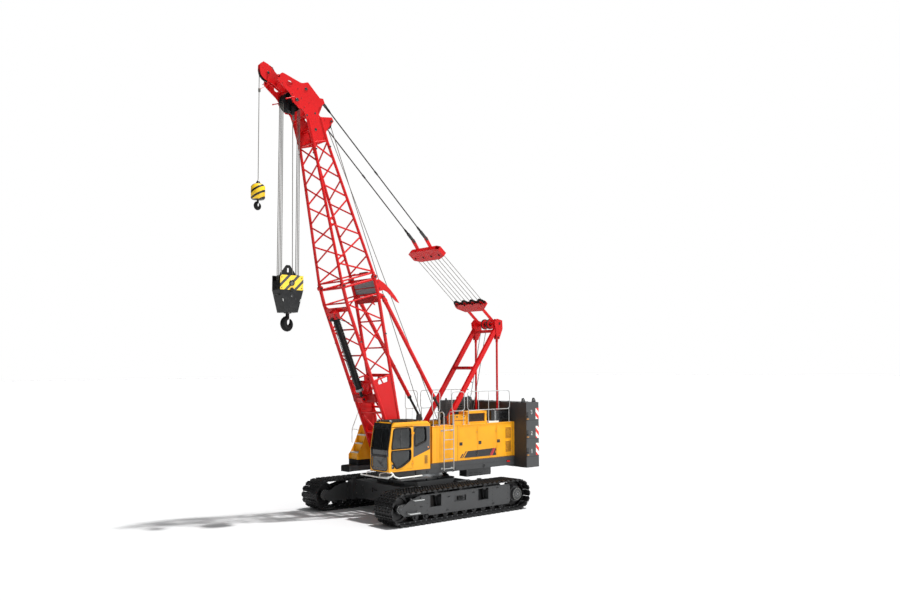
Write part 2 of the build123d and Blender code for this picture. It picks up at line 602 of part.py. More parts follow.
def cab_door():
    """The door leaf with its two window openings and hinges at its rear edge."""
    low, high = CAB_SPLIT_LOW + RUN_GAP, CAB_SPLIT_HIGH - RUN_GAP - 20
    leaf = block(CAB_DOOR_REAR, CAB_DOOR_FRONT, CAB_OUT - CAB_WALL + SEAT, CAB_OUT, low, high)
    leaf &= side_plate(cab_profile(), CAB_IN, CAB_OUT + 1)
    for name in ("door_high", "door_low"):
        leaf -= cab_cutter(cab_windows()[name][0], "left")
    pieces = [leaf]
    for z in cab_hinge_heights():
        pieces.append(cab_knuckle(z - HINGE_LONG - SEAT, z))
        pieces.append(block(CAB_DOOR_REAR, CAB_DOOR_REAR + 50, CAB_OUT - 1, CAB_OUT + HINGE_OUT, z - HINGE_LONG, z))
    return fuse(*pieces)


def pane(outline, panel):
    middle = CAB_OUT - CAB_WALL / 2 if panel == "left" else CAB_IN + CAB_WALL / 2
    glass = make_face(Polyline(*outline, close=True))
    return side_plate(offset(glass, -SEAT, kind=Kind.INTERSECTION), middle - GLASS / 2, middle + GLASS / 2)


def cab_glass():
    """The fixed panes: front above and below, right, rear and left quarter."""
    y_in, y_out = CAB_IN + CAB_WALL, CAB_OUT - CAB_WALL
    ribbon = side_plate(cab_profile(15), y_in, y_out) - side_plate(cab_profile(15 + GLASS), y_in - 1, y_out + 1)
    front = ribbon & block(2300, 2900, y_in + 30 + SEAT, y_out - 30 - SEAT, 2230 + SEAT, 3110 - SEAT)
    toe = ribbon & block(2300, 2900, y_in + 60 + SEAT, y_out - 60 - SEAT, 1800 + SEAT, 2150 - SEAT)
    back = block(CAB_REAR + 20, CAB_REAR + 20 + GLASS, y_in + 120 + SEAT, y_out - 120 - SEAT, 2300 + SEAT, 3050 - SEAT)
    sides = [pane(*cab_windows()[name]) for name in ("quarter", "right")]
    return fuse(front, toe, back, *sides)


def cab_door_glass():
    return fuse(*[pane(*cab_windows()[name]) for name in ("door_high", "door_low")])


def operator_seat():
    """The seat on its pedestal between two consoles."""
    middle, floor = (CAB_IN + CAB_OUT) / 2, CAB_FLOOR + CAB_WALL + SEAT
    pieces = [block(1250, 1650, middle - 170, middle + 170, floor, floor + 250),
              block(1180, 1720, middle - 245, middle + 245, floor + 249, floor + 390),
              side_plate([(1180, floor + 389), (1310, floor + 389), (1220, floor + 1020), (1120, floor + 1020)],
                         middle - 225, middle + 225)]
    for side in (1, -1):
        near, far = middle + side * 285, middle + side * 400
        pieces.append(block(1240, 1820, min(near, far), max(near, far), floor, floor + 520))
        pieces.append(block(1300, 1500, min(middle, near + side), max(middle, near + side), floor, floor + 120))
    return fuse(*pieces)


# ---------------------------------------------------------------- gantry
def leg_point(share):
    (x0, z0), (x1, z1) = GANTRY_FOOT, GANTRY_HEAD
    return x0 + (x1 - x0) * share, z0 + (z1 - z0) * share


def gantry():
    """The raking legs with their cross tubes, head plates, head shaft and guide sheaves."""
    lean = atan2(GANTRY_HEAD[1] - GANTRY_FOOT[1], GANTRY_HEAD[0] - GANTRY_FOOT[0])
    across = (-sin(lean) * LEG_DEEP / 2, cos(lean) * LEG_DEEP / 2)
    low, high = leg_point(0.045), leg_point(0.985)
    leg = [(low[0] - across[0], low[1] - across[1]), (low[0] + across[0], low[1] + across[1]),
           (high[0] + across[0], high[1] + across[1]), (high[0] - across[0], high[1] - across[1])]
    x, z = GANTRY_HEAD
    head = [(x - 150, z + 130), (x + 130, z + 190), (x + 260, z + 60), (x + 190, z - 330), (LINK_X + 70, LINK_TOP - 70),
            (LINK_X - 70, LINK_TOP - 70), (x - 170, z - 200)]
    solid = []
    for side in (1, -1):
        solid.append(side_plate(leg, *band(side, GANTRY_Y - LEG_WIDE / 2, GANTRY_Y + LEG_WIDE / 2)))
        foot_x, foot_z = GANTRY_FOOT
        eye = disc(foot_x, foot_z, 80, *band(side, GANTRY_Y - 32 + SEAT, GANTRY_Y + 32 - SEAT))
        neck = bar((foot_x, side * GANTRY_Y, foot_z), (*[leg_point(0.06)[0], side * GANTRY_Y], leg_point(0.06)[1]), 30)
        bore = disc(foot_x, foot_z, 35 + PIN_GAP, *band(side, GANTRY_Y - 70, GANTRY_Y + 70))
        solid.append(fuse(eye, neck) - bore)
        for inner, outer in ((GANTRY_Y - 80, GANTRY_Y - 58), (GANTRY_Y + 58, GANTRY_Y + 80)):
            solid.append(side_plate(head, *band(side, inner, outer)))
        solid.append(disc(LINK_X, LINK_TOP, 35, *band(side, GANTRY_Y - 70, GANTRY_Y + 70)))
        solid.append(disc(x, z, 190, *band(side, 130, 175)))
    for share in (0.65, 0.94):
        at_x, at_z = leg_point(share)
        solid.append(disc(at_x, at_z, 62, -GANTRY_Y, GANTRY_Y))
    solid.append(disc(x, z, GANTRY_PIN_R, -GANTRY_Y - 60, GANTRY_Y + 60))
    return fuse(*solid)


def back_links():
    """The two links that hold the gantry head down to the frame's rear."""
    pieces = []
    for side in (1, -1):
        link = [bar((LINK_X, side * GANTRY_Y, LINK_BOTTOM), (LINK_X, side * GANTRY_Y, LINK_TOP), 42)]
        for z, reach, radius in ((LINK_TOP, 58 - SEAT, 62), (LINK_BOTTOM, 32 - SEAT, 62)):
            link.append(disc(LINK_X, z, radius, *band(side, GANTRY_Y - reach, GANTRY_Y + reach)))
        shape = fuse(*link)
        trim = block(LINK_X - 90, LINK_X + 90, *band(side, GANTRY_Y + 32 - SEAT, GANTRY_Y + 90), LINK_BOTTOM - 90, LINK_BOTTOM + 130)
        trim2 = block(LINK_X - 90, LINK_X + 90, *band(side, GANTRY_Y - 90, GANTRY_Y - 32 + SEAT), LINK_BOTTOM - 90, LINK_BOTTOM + 130)
        shape = shape - trim - trim2
        for z in (LINK_TOP, LINK_BOTTOM):
            shape -= disc(LINK_X, z, 35 + PIN_GAP, *band(side, GANTRY_Y - 80, GANTRY_Y + 80))
        pieces.append(shape)
    return fuse(*pieces)


def sheave_set(x, z, radius, places, thick):
    """Sheaves on one hub."""
    hub = disc(x, z, radius * 0.35, min(places) - thick, max(places) + thick)
    return [hub] + [disc(x, z, radius, y - thick / 2, y + thick / 2) for y in places]


def falls_plate(outline, low, high):
    """A plate square to the falls' upper face: outline in (distance from the gantry head, y)."""
    turn = radians(FALLS_ANGLE)
    face = Plane(origin=(GANTRY_HEAD[0], 0, GANTRY_HEAD[1]), x_dir=(cos(turn), 0, sin(turn)), z_dir=(-sin(turn), 0, cos(turn)))
    flat = make_face(Polyline(*outline, close=True))
    return face * (Pos(0, 0, low) * extrude(flat, high - low))


def flat_sheaves(reach):
    """The four falls sheaves of the block or the bail, lying flat between its two plates."""
    turn = radians(FALLS_ANGLE)
    face = Plane(origin=(GANTRY_HEAD[0], 0, GANTRY_HEAD[1]), x_dir=(cos(turn), 0, sin(turn)), z_dir=(-sin(turn), 0, cos(turn)))
    solid = []
    for y in FALLS_SHEAVES:
        solid += [face * (Pos(reach, y, 0) * Cylinder(FALLS_SHEAVE_R, 46)), face * (Pos(reach, y, 0) * Cylinder(34, 170))]
    return solid


def gantry_block():
    """The sheave block that swings on the gantry head and leads the luffing falls."""
    side_dir = (-sin(radians(FALLS_ANGLE)), cos(radians(FALLS_ANGLE)))
    ends = []
    for reach in (0, BLOCK_REACH - 150):
        px, pz = along(GANTRY_HEAD, FALLS_ANGLE, reach)
        ends.append(((px + side_dir[0] * 60, pz + side_dir[1] * 60), (px - side_dir[0] * 60, pz - side_dir[1] * 60)))
    arm = [ends[0][0], ends[1][0], ends[1][1], ends[0][1]]
    wide = FALLS_SHEAVES[0] + 135
    outline = [(BLOCK_REACH - 290, -450), (BLOCK_REACH - 290, 450), (BLOCK_REACH - 100, wide + 40), (BLOCK_REACH + 20, wide),
               (BLOCK_REACH + 20, -wide), (BLOCK_REACH - 100, -wide - 40)]
    solid = flat_sheaves(BLOCK_REACH) + [falls_plate(outline, 60, 75), falls_plate(outline, -75, -60)]
    for side in (1, -1):
        ys = band(side, 430, 460)
        solid += [side_plate(arm, *ys), disc(*GANTRY_HEAD, 95, *ys)]
    shape = fuse(*solid)
    return shape - disc(*GANTRY_HEAD, GANTRY_PIN_R + PIN_GAP, -510, 510)


def bail():
    """The floating bail: flat sheaves between two plates, with two lugs that carry the stays."""
    rear = along(GANTRY_HEAD, FALLS_ANGLE, BAIL_REACH)
    front = along(rear, BAIL_ANGLE, BAIL_LENGTH)
    side_dir = (-sin(radians(BAIL_ANGLE)), cos(radians(BAIL_ANGLE)))
    root = along(rear, FALLS_ANGLE, 60)
    lug = []
    for point, half in ((root, 62), (front, 75)):
        lug.append((point[0] + side_dir[0] * half, point[1] + side_dir[1] * half))
        lug.insert(0, (point[0] - side_dir[0] * half, point[1] - side_dir[1] * half))
    wide = FALLS_SHEAVES[0] + 175
    outline = [(BAIL_REACH - 40, -wide + 30), (BAIL_REACH + 60, -wide), (BAIL_REACH + 230, -wide + 90),
               (BAIL_REACH + 320, -STAY_Y - 15), (BAIL_REACH + 320, STAY_Y + 15), (BAIL_REACH + 230, wide - 90),
               (BAIL_REACH + 60, wide), (BAIL_REACH - 40, wide - 30)]
    solid = flat_sheaves(BAIL_REACH) + [falls_plate(outline, 60, 75), falls_plate(outline, -75, -60)]
    for side in (1, -1):
        ys = band(side, STAY_Y - 15, STAY_Y + 15)
        solid.append(fuse(side_plate([lug[1], lug[2], lug[3], lug[0]], *ys), disc(*front, 75, *ys)))
    return fuse(*solid)


def stays():
    """The two boom stays, with an eye at the boom head and an open fork round the bail."""
    head = boom_point(*STAY_PIN)
    rear = along(GANTRY_HEAD, FALLS_ANGLE, BAIL_REACH)
    front = along(rear, BAIL_ANGLE, BAIL_LENGTH)
    run = degrees(atan2(head[1] - front[1], head[0] - front[0]))
    length = hypot(head[0] - front[0], head[1] - front[1])
    pieces = []
    for side in (1, -1):
        y = side * STAY_Y
        place = Pos(front[0], y, front[1]) * Rot(0, -run, 0)
        rod = place * bar((330, 0, 0), (length - 150, 0, 0), STAY_R)
        bridge = place * block(290, 350, -34, 34, -45, 45)
        cheeks = [place * block(-90, 291, low, low + 11, -45, 45) for low in (-34, 23)]
        neck = place * block(length - 250, length, -20, 20, -45, 45)
        eye = disc(*head, 72, y - 30, y + 30)
        pieces.append(fuse(rod, bridge, *cheeks, neck, eye) - disc(*head, 32 + PIN_GAP, y - 40, y + 40))
    return fuse(*pieces)


# ---------------------------------------------------------------- boom, in (u, v, w)
def lattice(start, end, start_half, end_half, bays, chord, lacing):
    """Four chords (none if chord is 0) from u = start to end with zigzag lacing on each face."""
    def corner(u, front, left):
        share = (u - start) / (end - start)
        deep = start_half[0] + (end_half[0] - start_half[0]) * share
        wide = start_half[1] + (end_half[1] - start_half[1]) * share
        return u, front * deep, left * wide

    signs = (-1, 1)
    pieces = []
    if chord:
        pieces = [bar(corner(start, a, b), corner(end, a, b), chord, (0, a, b)) for a in signs for b in signs]
    pitch = (end - start) / bays
    for bay in range(bays):
        low, high = start + bay * pitch + LACING_STEP, start + (bay + 1) * pitch - LACING_STEP
        lean = 1 if bay % 2 else -1
        for face in signs:
            pieces.append(bar(corner(low, lean * face, face), corner(high, -lean * face, face), lacing))
            pieces.append(bar(corner(low, face, -lean * face), corner(high, face, lean * face), lacing - 2))
    for u in (start, end):
        for face in signs:
            pieces.append(bar(corner(u, face, -1), corner(u, face, 1), lacing))
            pieces.append(bar(corner(u, -1, face), corner(u, 1, face), lacing))
    return pieces


def half_depth(u):
    """Half depth of the boom base between its chords' centre lines."""
    return FOOT_HALF_DEPTH + (HALF_DEPTH - FOOT_HALF_DEPTH) * min(u, TAPER_U) / TAPER_U


def boom_base():
    """The foot section: two plated legs, then lattice up to the joint."""
    pieces = lattice(PLATE_U, TAPER_U, (half_depth(PLATE_U), HALF_WIDTH), (HALF_DEPTH, HALF_WIDTH), 3, 0, BASE_LACING_R)
    low = 500
    outline = [(0, -150), (low, -half_depth(low) - 45), (PLATE_U, -half_depth(PLATE_U) - 45),
               (PLATE_U, half_depth(PLATE_U) + 45), (low, half_depth(low) + 45), (0, 150)]
    for side in (1, -1):
        ear = fuse(drum(0, 0, 150, *band(side, EAR_IN, EAR_OUT)), slab(outline, *band(side, EAR_OUT - 50, EAR_OUT)),
                   slab([(0, -150), (650, -150), (650, 150), (0, 150)], *band(side, EAR_IN, EAR_OUT)))
        ear -= drum(0, 0, FOOT_PIN_R + PIN_GAP, *band(side, EAR_IN - 5, EAR_OUT + 5))
        ear -= slab([(PLATE_U - 190, -200), (PLATE_U + 5, -240), (PLATE_U + 5, 240), (PLATE_U - 190, 200)],
                    *band(side, EAR_IN - 5, EAR_OUT + 5))
        pieces.append(ear)
        for front in (1, -1):
            foot, knee = (low + 250, front * half_depth(low + 250)), (TAPER_U + 8, front * (HALF_DEPTH + 0.7))
            pieces += [bar((*foot, side * HALF_WIDTH), (*knee, side * HALF_WIDTH), CHORD_R, (0, front, side)),
                       bar((TAPER_U - 8, front * HALF_DEPTH, side * HALF_WIDTH),
                           (JOINT_U - 40, front * HALF_DEPTH, side * HALF_WIDTH), CHORD_R + 1.5, (0, front, side)),
                       drum(JOINT_U, front * HALF_DEPTH, 88, *band(side, HALF_WIDTH - 65, HALF_WIDTH + 65))]
        u, v = BACKSTOP_PIN
        lug = slab([(u - 60, -HALF_DEPTH), (u + 190, -HALF_DEPTH), (u + 60, v - 60), (u - 60, v - 60)],
                   *band(side, BACKSTOP_Y - 15, BACKSTOP_Y + 15))
        pieces += [lug, drum(u, v, 30, *band(side, BACKSTOP_Y - 50, BACKSTOP_Y + 50))]
    for face in (-1, 1):
        u = JOINT_U - 70
        pieces.append(bar((u, face * HALF_DEPTH, -HALF_WIDTH), (u, face * HALF_DEPTH, HALF_WIDTH), 40))
        pieces.append(bar((u, -HALF_DEPTH, face * HALF_WIDTH), (u, HALF_DEPTH, face * HALF_WIDTH), 40))
        for u in STRUT_PLACES:
            v = face * half_depth(u)
            pieces.append(bar((u, v, -HALF_WIDTH), (u, v, HALF_WIDTH), BASE_LACING_R))
    pieces.append(drum(900, 0, 110, -EAR_OUT + 20, EAR_OUT - 20))
    # the beam and bracket that carry the assembly cylinder
    pieces.append(slab([(5700, HALF_DEPTH - 60), (5860, HALF_DEPTH - 60), (5860, HALF_DEPTH + 20), (5700, HALF_DEPTH + 20)],
                       -HALF_WIDTH, HALF_WIDTH))
    pieces.append(slab([(5700, HALF_DEPTH), (5860, HALF_DEPTH), (5740, 930), (5700, 930)], -150, 150))
    return BOOM * fuse(*pieces)


def assembly_cylinder():
    """The cylinder that lifts the crane's own sections, stowed on the boom base's front."""
    top, low = (5640, 805, 0), (2850, 545, 0)
    run = (Vector(*low) - Vector(*top)).normalized()
    barrel = bar(top, low, 108)
    rod = bar(low, tuple(Vector(*low) + run * 260), 55)
    head = slab([(5500, 690), (5700 - SEAT, 690), (5700 - SEAT, 920), (5500, 915)], -130, 130)
    return BOOM * fuse(barrel, rod, head)


def boom_top():
    """The head section: tapering lattice, head plates, cross tubes and sheave pins."""
    start = JOINT_U + 150
    pieces = lattice(start, TOP_U, (HALF_DEPTH, HALF_WIDTH), (TOP_HALF_DEPTH, TOP_HALF_WIDTH), 7, TOP_CHORD_R, LACING_R)
    plate = [(11450, -230), (11790, -325), (11870, -410), (12100, -720), (12242, -690), (12267, -504), (12305, -250),
             (12380, -195), (12520, -190), (12615, -250), (12657, -347), (12740, -535), (12900, -520), (12935, -390),
             (13500, -75), (13490, 148), (13514, 222), (13876, 770), (13890, 824), (13790, 1040), (13700, 1060),
             (13577, 985), (13212, 720), (13079, 664), (13015, 702), (12874, 642), (12673, 502), (12646, 390),
             (12558, 350), (12298, 329), (11450, 325)]
    root = MAIN_SHEAVE[0] + SHEAVE_R + 35
    cheek = [(root, 150), (13560, 230), (13889, 762), (14100, 895), (14276, 1019), (14386, 1171), (14297, 1325),
             (14136, 1382), (13971, 1391), (13832, 1316), (13600, 1020), (root, 760)]
    for side in (1, -1):
        head = slab(plate, *band(side, HEAD_IN, HEAD_OUT))
        pieces.append(head - drum(13530, 635, 90, *band(side, HEAD_IN - 5, HEAD_OUT + 5)))
        pieces.append(slab(cheek, *band(side, 52, 74)))
        for front in (1, -1):
            corner = (start, front * HALF_DEPTH, side * HALF_WIDTH)
            pieces.append(bar((JOINT_U + 88 + SEAT, *corner[1:]), (start + 20, *corner[1:]), TOP_CHORD_R + 10))
            pieces.append(bar((TOP_U - 15, front * TOP_HALF_DEPTH, side * TOP_HALF_WIDTH),
                              (12300, front * TOP_HALF_DEPTH * 0.9, side * (HEAD_OUT - 20)), TOP_CHORD_R + 3))
        # the stay's inner lug and its pin
        inner = STAY_Y - 34
        pieces.append(slab([(12300, -190), (12640, -190), (12900, -520), (12740, -535)], *band(side, inner - 22, inner)))
        pieces.append(drum(*STAY_PIN, 32, *band(side, inner - 20, HEAD_OUT)))
    pieces.append(drum(*MAIN_SHEAVE, SHEAVE_PIN_R, -HEAD_OUT - 15, HEAD_OUT + 15))
    pieces.append(drum(*TIP_SHEAVE, 40, -85, 110))
    pieces.append(drum(*DEFLECTOR, 30, -HEAD_OUT - 10, HEAD_OUT + 10))
    # cross tubes: u, v, radius
    tubes = ((13330, 61, 55), (11980, 30, 70), (MAIN_SHEAVE[0] + SHEAVE_R + 105, 520, 50), (12450, -60, 50), (11650, -200, 45), (12420, 275, 40),
             (13660, 900, 40))
    for u, v, radius in tubes:
        pieces.append(drum(u, v, radius, -HEAD_OUT + 5, HEAD_OUT - 5))
    return BOOM * fuse(*pieces)


def sheaves(centre, radius, bore, places, thick):
    """Grooved sheaves on one hub, in the boom's frame."""
    u, v = centre
    solid = [drum(u, v, bore + 40, min(places) - thick / 2 - 12, max(places) + thick / 2 + 12)]
    for w in places:
        rim = drum(u, v, radius, w - thick / 2, w + thick / 2)
        profile = make_face(Polyline((radius - 30, w), (radius + 5, w - thick * 0.38), (radius + 5, w + thick * 0.38), close=True))
        groove = Pos(u, v) * revolve(Plane.XZ * profile, Axis.Z)
        solid.append(rim - groove)
    return BOOM * (fuse(*solid) - drum(u, v, bore + PIN_GAP, -400, 400))


def backstop_run():
    head = boom_point(*BACKSTOP_PIN)
    return head, degrees(atan2(BACKSTOP_FOOT[1] - head[1], BACKSTOP_FOOT[0] - head[0])), hypot(
        BACKSTOP_FOOT[0] - head[0], BACKSTOP_FOOT[1] - head[1])


def backstop_tubes():
    """The outer tubes of the backstops, pinned to the boom."""
    head, run, length = backstop_run()
    pieces = []
    for side in (1, -1):
        y = side * BACKSTOP_Y
        place = Pos(head[0], y, head[1]) * Rot(0, -run, 0)
        tube = bar((110, 0, 0), (TUBE_LENGTH, 0, 0), BACKSTOP_R)
        tube -= bar((500, 0, 0), (TUBE_LENGTH - 60, 0, 0), BACKSTOP_ROD_R + 6)
        tube -= bar((TUBE_LENGTH - 70, 0, 0), (TUBE_LENGTH + 5, 0, 0), BACKSTOP_ROD_R + PIN_GAP)
        cheeks = [block(-10, 200, low, low + 25, -60, 60) for low in (-15 - SEAT - 25, 15 + SEAT)]
        eyes = [Pos(0, low + 12.5, 0) * Rot(90, 0, 0) * Cylinder(60, 25) for low in (-15 - SEAT - 25, 15 + SEAT)]
        base = block(110, 210, -68, 68, -60, 60)
        shape = place * fuse(tube, base, *cheeks, *eyes)
        pieces.append(shape - disc(*head, 30 + PIN_GAP, y - 60, y + 60))
    return fuse(*pieces)


def backstop_rods():
    """The rods that slide in the backstop tubes and bear on the posts by the gantry."""
    head, run, length = backstop_run()
    pieces = []
    for side in (1, -1):
        place = Pos(head[0], side * BACKSTOP_Y, head[1]) * Rot(0, -run, 0)
        rod = bar((length - ROD_LENGTH, 0, 0), (length - 30, 0, 0), BACKSTOP_ROD_R)
        rod -= block(length - 110, length, 20, 90, -90, 90)
        rod -= block(length - 110, length, -90, -20, -90, 90)
        eye = Pos(length, 0, 0) * Rot(90, 0, 0) * Cylinder(55, 40)
        pin = Pos(length, 0, 0) * Rot(90, 0, 0) * Cylinder(24, 58)
        pieces.append(place * fuse(rod, eye, pin))
    return fuse(*pieces)


# ---------------------------------------------------------------- hooks
def rope_socket():
    """The wedge socket of the main rope's dead end, hanging from the head shaft beside the sheaves."""
    x, z = boom_point(*MAIN_SHEAVE)
    eye = disc(x, z, 82, SOCKET_Y - 22, SOCKET_Y + 22)
    strap = block(x - 45, x + 45, SOCKET_Y - 22, SOCKET_Y + 22, z - 180, z)
    body = block(x - 60, x + 60, SOCKET_Y - 36, SOCKET_Y + 36, z - 460, z - 160)
    return fuse(eye, strap, body) - disc(x, z, SHEAVE_PIN_R + PIN_GAP, SOCKET_Y - 70, SOCKET_Y + 70)


def hook_shape(x, z, size, shank_r, shank_top):
    """A forged single hook: shank, bowl and point."""
    ring = Pos(x, 0, z) * Rot(90, 0, 0) * Torus(size, size * 0.36)
    gap = side_plate([(x + size * 0.15, z + size * 0.1), (x + size * 2, z + size * 0.1), (x + size * 2, z + size * 2),
                      (x + size * 0.15, z + size * 2)], -size, size)
    bowl = ring - gap
    tip = Pos(x + size, 0, z + size * 0.1) * Sphere(size * 0.3)
    shank = post(x, 0, shank_r, z + size * 0.8, shank_top)
    return fuse(bowl, tip, shank)


def main_hook_block():
    """The closed main block: cheeks, slanting covers, sheaves and the peaked yoke on top."""
    x, z = HOOK_X, HOOK_Z
    plate = [(x - 428, z + 480), (x + 428, z + 480), (x + 428, z - 5), (x + 232, z - 742), (x - 232, z - 742), (x - 428, z - 5)]
    solid = [side_plate(plate, *band(side, 215, 270)) for side in (1, -1)]
    for end in (1, -1):
        cover = [(x + end * 428, z + 300), (x + end * 428, z - 5), (x + end * 232, z - 742), (x + end * 212, z - 742),
                 (x + end * 408, z - 8), (x + end * 408, z + 300)]
        solid.append(side_plate(cover, -216, 216))
    for y in (-150, -50, 50, 150):
        solid.append(disc(x, z, 330, y - 35, y + 35))
    yoke = [(x - 300, z + 440), (x + 300, z + 440), (x + 300, z + 520), (x + 60, z + 840), (x - 60, z + 840), (x - 300, z + 520)]
    yoke = side_plate(yoke, -26, 26) - block(x - 45, x + 45, -30, 30, z + 600, z + 740)
    solid += [disc(x, z, 70, -300, 300), block(x - 190, x + 190, -220, 220, z - 742, z - 600), yoke,
              disc(x - 240, z + 470, 35, -216, 216), disc(x + 240, z + 470, 35, -216, 216)]
    return fuse(*solid) - post(x, 0, 60 + PIN_GAP, z - 750, z - 340)


def main_hook():
    top = HOOK_Z - 500
    return fuse(hook_shape(HOOK_X, HOOK_Z - 1090, 185, 60, top), post(HOOK_X, 0, 100, HOOK_Z - 600 + SEAT, HOOK_Z - 530))


def limit_weight():
    """The weight of the hoist limit switch, hanging round the auxiliary rope."""
    x, z = boom_point(*TIP_SHEAVE)
    low = z - WEIGHT_DROP
    side = 74 + SEAT
    body = post(AUX_X, 0, 52, low - 130, low) - post(AUX_X, 0, 26, low - 131, low + 1)
    eye = disc(x, z, 62, side, side + 14) - disc(x, z, 40 + PIN_GAP, side - 5, side + 20)
    strap = block(x - 18, x + 18, side, side + 14, z - 420, z - 50)
    rod = bar((x, side + 7, z - 410), (AUX_X, 42, low - 40), 9)
    return fuse(body, eye, strap, rod)


def aux_hook_block():
    """The striped ballast block of the auxiliary hook."""
    x, z = AUX_X, AUX_Z
    outline = [(0, -10), (70, -10), (165, -55), (AUX_R, -120), (AUX_R, -500), (190, -540), (0, -540)]
    body = Pos(x, 0, z) * revolve(Plane.XZ * make_face(Polyline(*outline, close=True)), Axis.Z)
    return body - post(x, 0, 32 + PIN_GAP, z - 550, z - 330)


def aux_hook():
    x, z = AUX_X, AUX_Z
    return hook_shape(x, z - 740, 105, 32, z - 330 - SEAT)


# ---------------------------------------------------------------- the list of sub-parts
def sub_parts():
    parts = {
        "carbody": carbody(),
        "side_frames": fuse(*both(side_frame)),
        "left_track": track(1),
        "right_track": track(-1),
        "drive_sprockets": fuse(*both(sprocket)),
        "idler_wheels": fuse(*both(idler)),
        "track_rollers": rollers(),
        "slewing_ring": slewing_ring(),
        "upper_frame": upper_frame(),
        "engine": engine(),
        "side_houses": fuse(*both(house)),
        "rear_cover": rear_cover(),
        "counterweight_tray": weight_slab(0),
        "counterweight_slabs": fuse(*[weight_slab(level) for level in (1, 2, 3)]),
        "fuel_tank_steps": fuel_tank_steps(),
        "roof_rails": roof_rails(),
        "ladder": ladder(),
        "left_catwalk": left_catwalk(),
        "cooler_box": cooler_box(),
        "silencer": silencer(),
        "right_roof_module": right_roof_module(),
        "cab_glass": cab_glass(),
        "operator_seat": operator_seat(),
        "cab_door": cab_door(),
        "cab_door_glass": cab_door_glass(),
        "gantry": gantry(),
        "gantry_back_links": back_links(),
        "gantry_sheave_block": gantry_block(),
        "floating_bail": bail(),
        "boom_stays": stays(),
        "boom_base": boom_base(),
        "boom_top": boom_top(),
        "assembly_cylinder": assembly_cylinder(),
        "main_head_sheaves": sheaves(MAIN_SHEAVE, SHEAVE_R, SHEAVE_PIN_R, (-120, -40, 40, 120), 60),
        "tip_sheave": sheaves(TIP_SHEAVE, TIP_SHEAVE_R, 40, (0,), 56),
        "deflector_sheaves": sheaves(DEFLECTOR, DEFLECTOR_R, 30, (-110, 110), 60),
        "backstop_tubes": backstop_tubes(),
        "backstop_rods": backstop_rods(),
        "main_rope_socket": rope_socket(),
        "auxiliary_limit_weight": limit_weight(),
        "main_hook_block": main_hook_block(),
        "main_hook": main_hook(),
        "auxiliary_hook_block": aux_hook_block(),
        "auxiliary_hook": aux_hook(),
    }
    parts.update(cab_panels())
    parts.update({name: winch_drum(x, z, radius, flange) for name, x, z, radius, flange in DRUMS})
    parts.update({name: house_door(side, rear, front) for name, side, rear, front in DOORS})
    return parts


if __name__ == "__main__":
    os.makedirs("parts", exist_ok=True)
    for node, shape in sub_parts().items():
        export_step(FRAME_SHIFT * shape, f"parts/{node}.step")
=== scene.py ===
from math import cos, hypot, pi, radians, sin

import bpy
from mathutils import Matrix, Vector


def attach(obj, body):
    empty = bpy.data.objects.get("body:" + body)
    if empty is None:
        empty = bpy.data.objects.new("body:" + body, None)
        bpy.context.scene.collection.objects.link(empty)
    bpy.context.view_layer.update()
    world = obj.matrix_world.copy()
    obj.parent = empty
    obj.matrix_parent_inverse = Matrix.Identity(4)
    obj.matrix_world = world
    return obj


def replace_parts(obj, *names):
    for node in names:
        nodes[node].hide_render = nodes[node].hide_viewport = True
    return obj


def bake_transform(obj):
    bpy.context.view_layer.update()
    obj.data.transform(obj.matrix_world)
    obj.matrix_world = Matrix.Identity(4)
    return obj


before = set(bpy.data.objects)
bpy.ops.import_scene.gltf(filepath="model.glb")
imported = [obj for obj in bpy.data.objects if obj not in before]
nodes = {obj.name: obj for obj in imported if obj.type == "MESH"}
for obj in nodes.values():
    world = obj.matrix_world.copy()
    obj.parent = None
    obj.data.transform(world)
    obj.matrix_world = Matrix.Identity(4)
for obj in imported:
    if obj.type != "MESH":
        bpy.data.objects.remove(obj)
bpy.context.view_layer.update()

# ------------------------------------------------------------------ places, in millimetres
# (x, y, z) about the slewing axis: x forwards, y left, z up. (u, v, w) on the boom:
# u from its foot pin to its head, v out of its front face, w as y.
SHIFT = 1130            # from the slewing axis to the frame's origin
FOOT = (1150, 1800)     # the boom's foot pin (x, z)
LUFF = radians(73.4)    # the boom's angle at rest
CL, SL = cos(LUFF), sin(LUFF)
UP, DOWN, LEFT = (0, 0, 1), (0, 0, -1), (0, 1, 0)


def P(x, y, z):
    return Vector(((x - SHIFT) / 1000, y / 1000, z / 1000))


def boom_xz(u, v):
    return FOOT[0] + u * CL + v * SL, FOOT[1] + u * SL - v * CL


def B(u, v, w):
    x, z = boom_xz(u, v)
    return P(x, w, z)


def on_line(start, angle, length):
    return start[0] + length * cos(radians(angle)), start[1] + length * sin(radians(angle))


def arc(x, z, radius, count, start=0.0, turn=2 * pi):
    """count + 1 points (x, z) along an arc; a whole turn leaves its last point out."""
    steps = range(count if turn == 2 * pi else count + 1)
    return [(x + radius * cos(t), z + radius * sin(t)) for t in [start + turn * k / count for k in steps]]


# ------------------------------------------------------------------ materials
def shade(hexcode):
    parts = [int(hexcode[i:i + 2], 16) / 255 for i in (0, 2, 4)]
    return [c / 12.92 if c < 0.04045 else ((c + 0.055) / 1.055) ** 2.4 for c in parts] + [1.0]


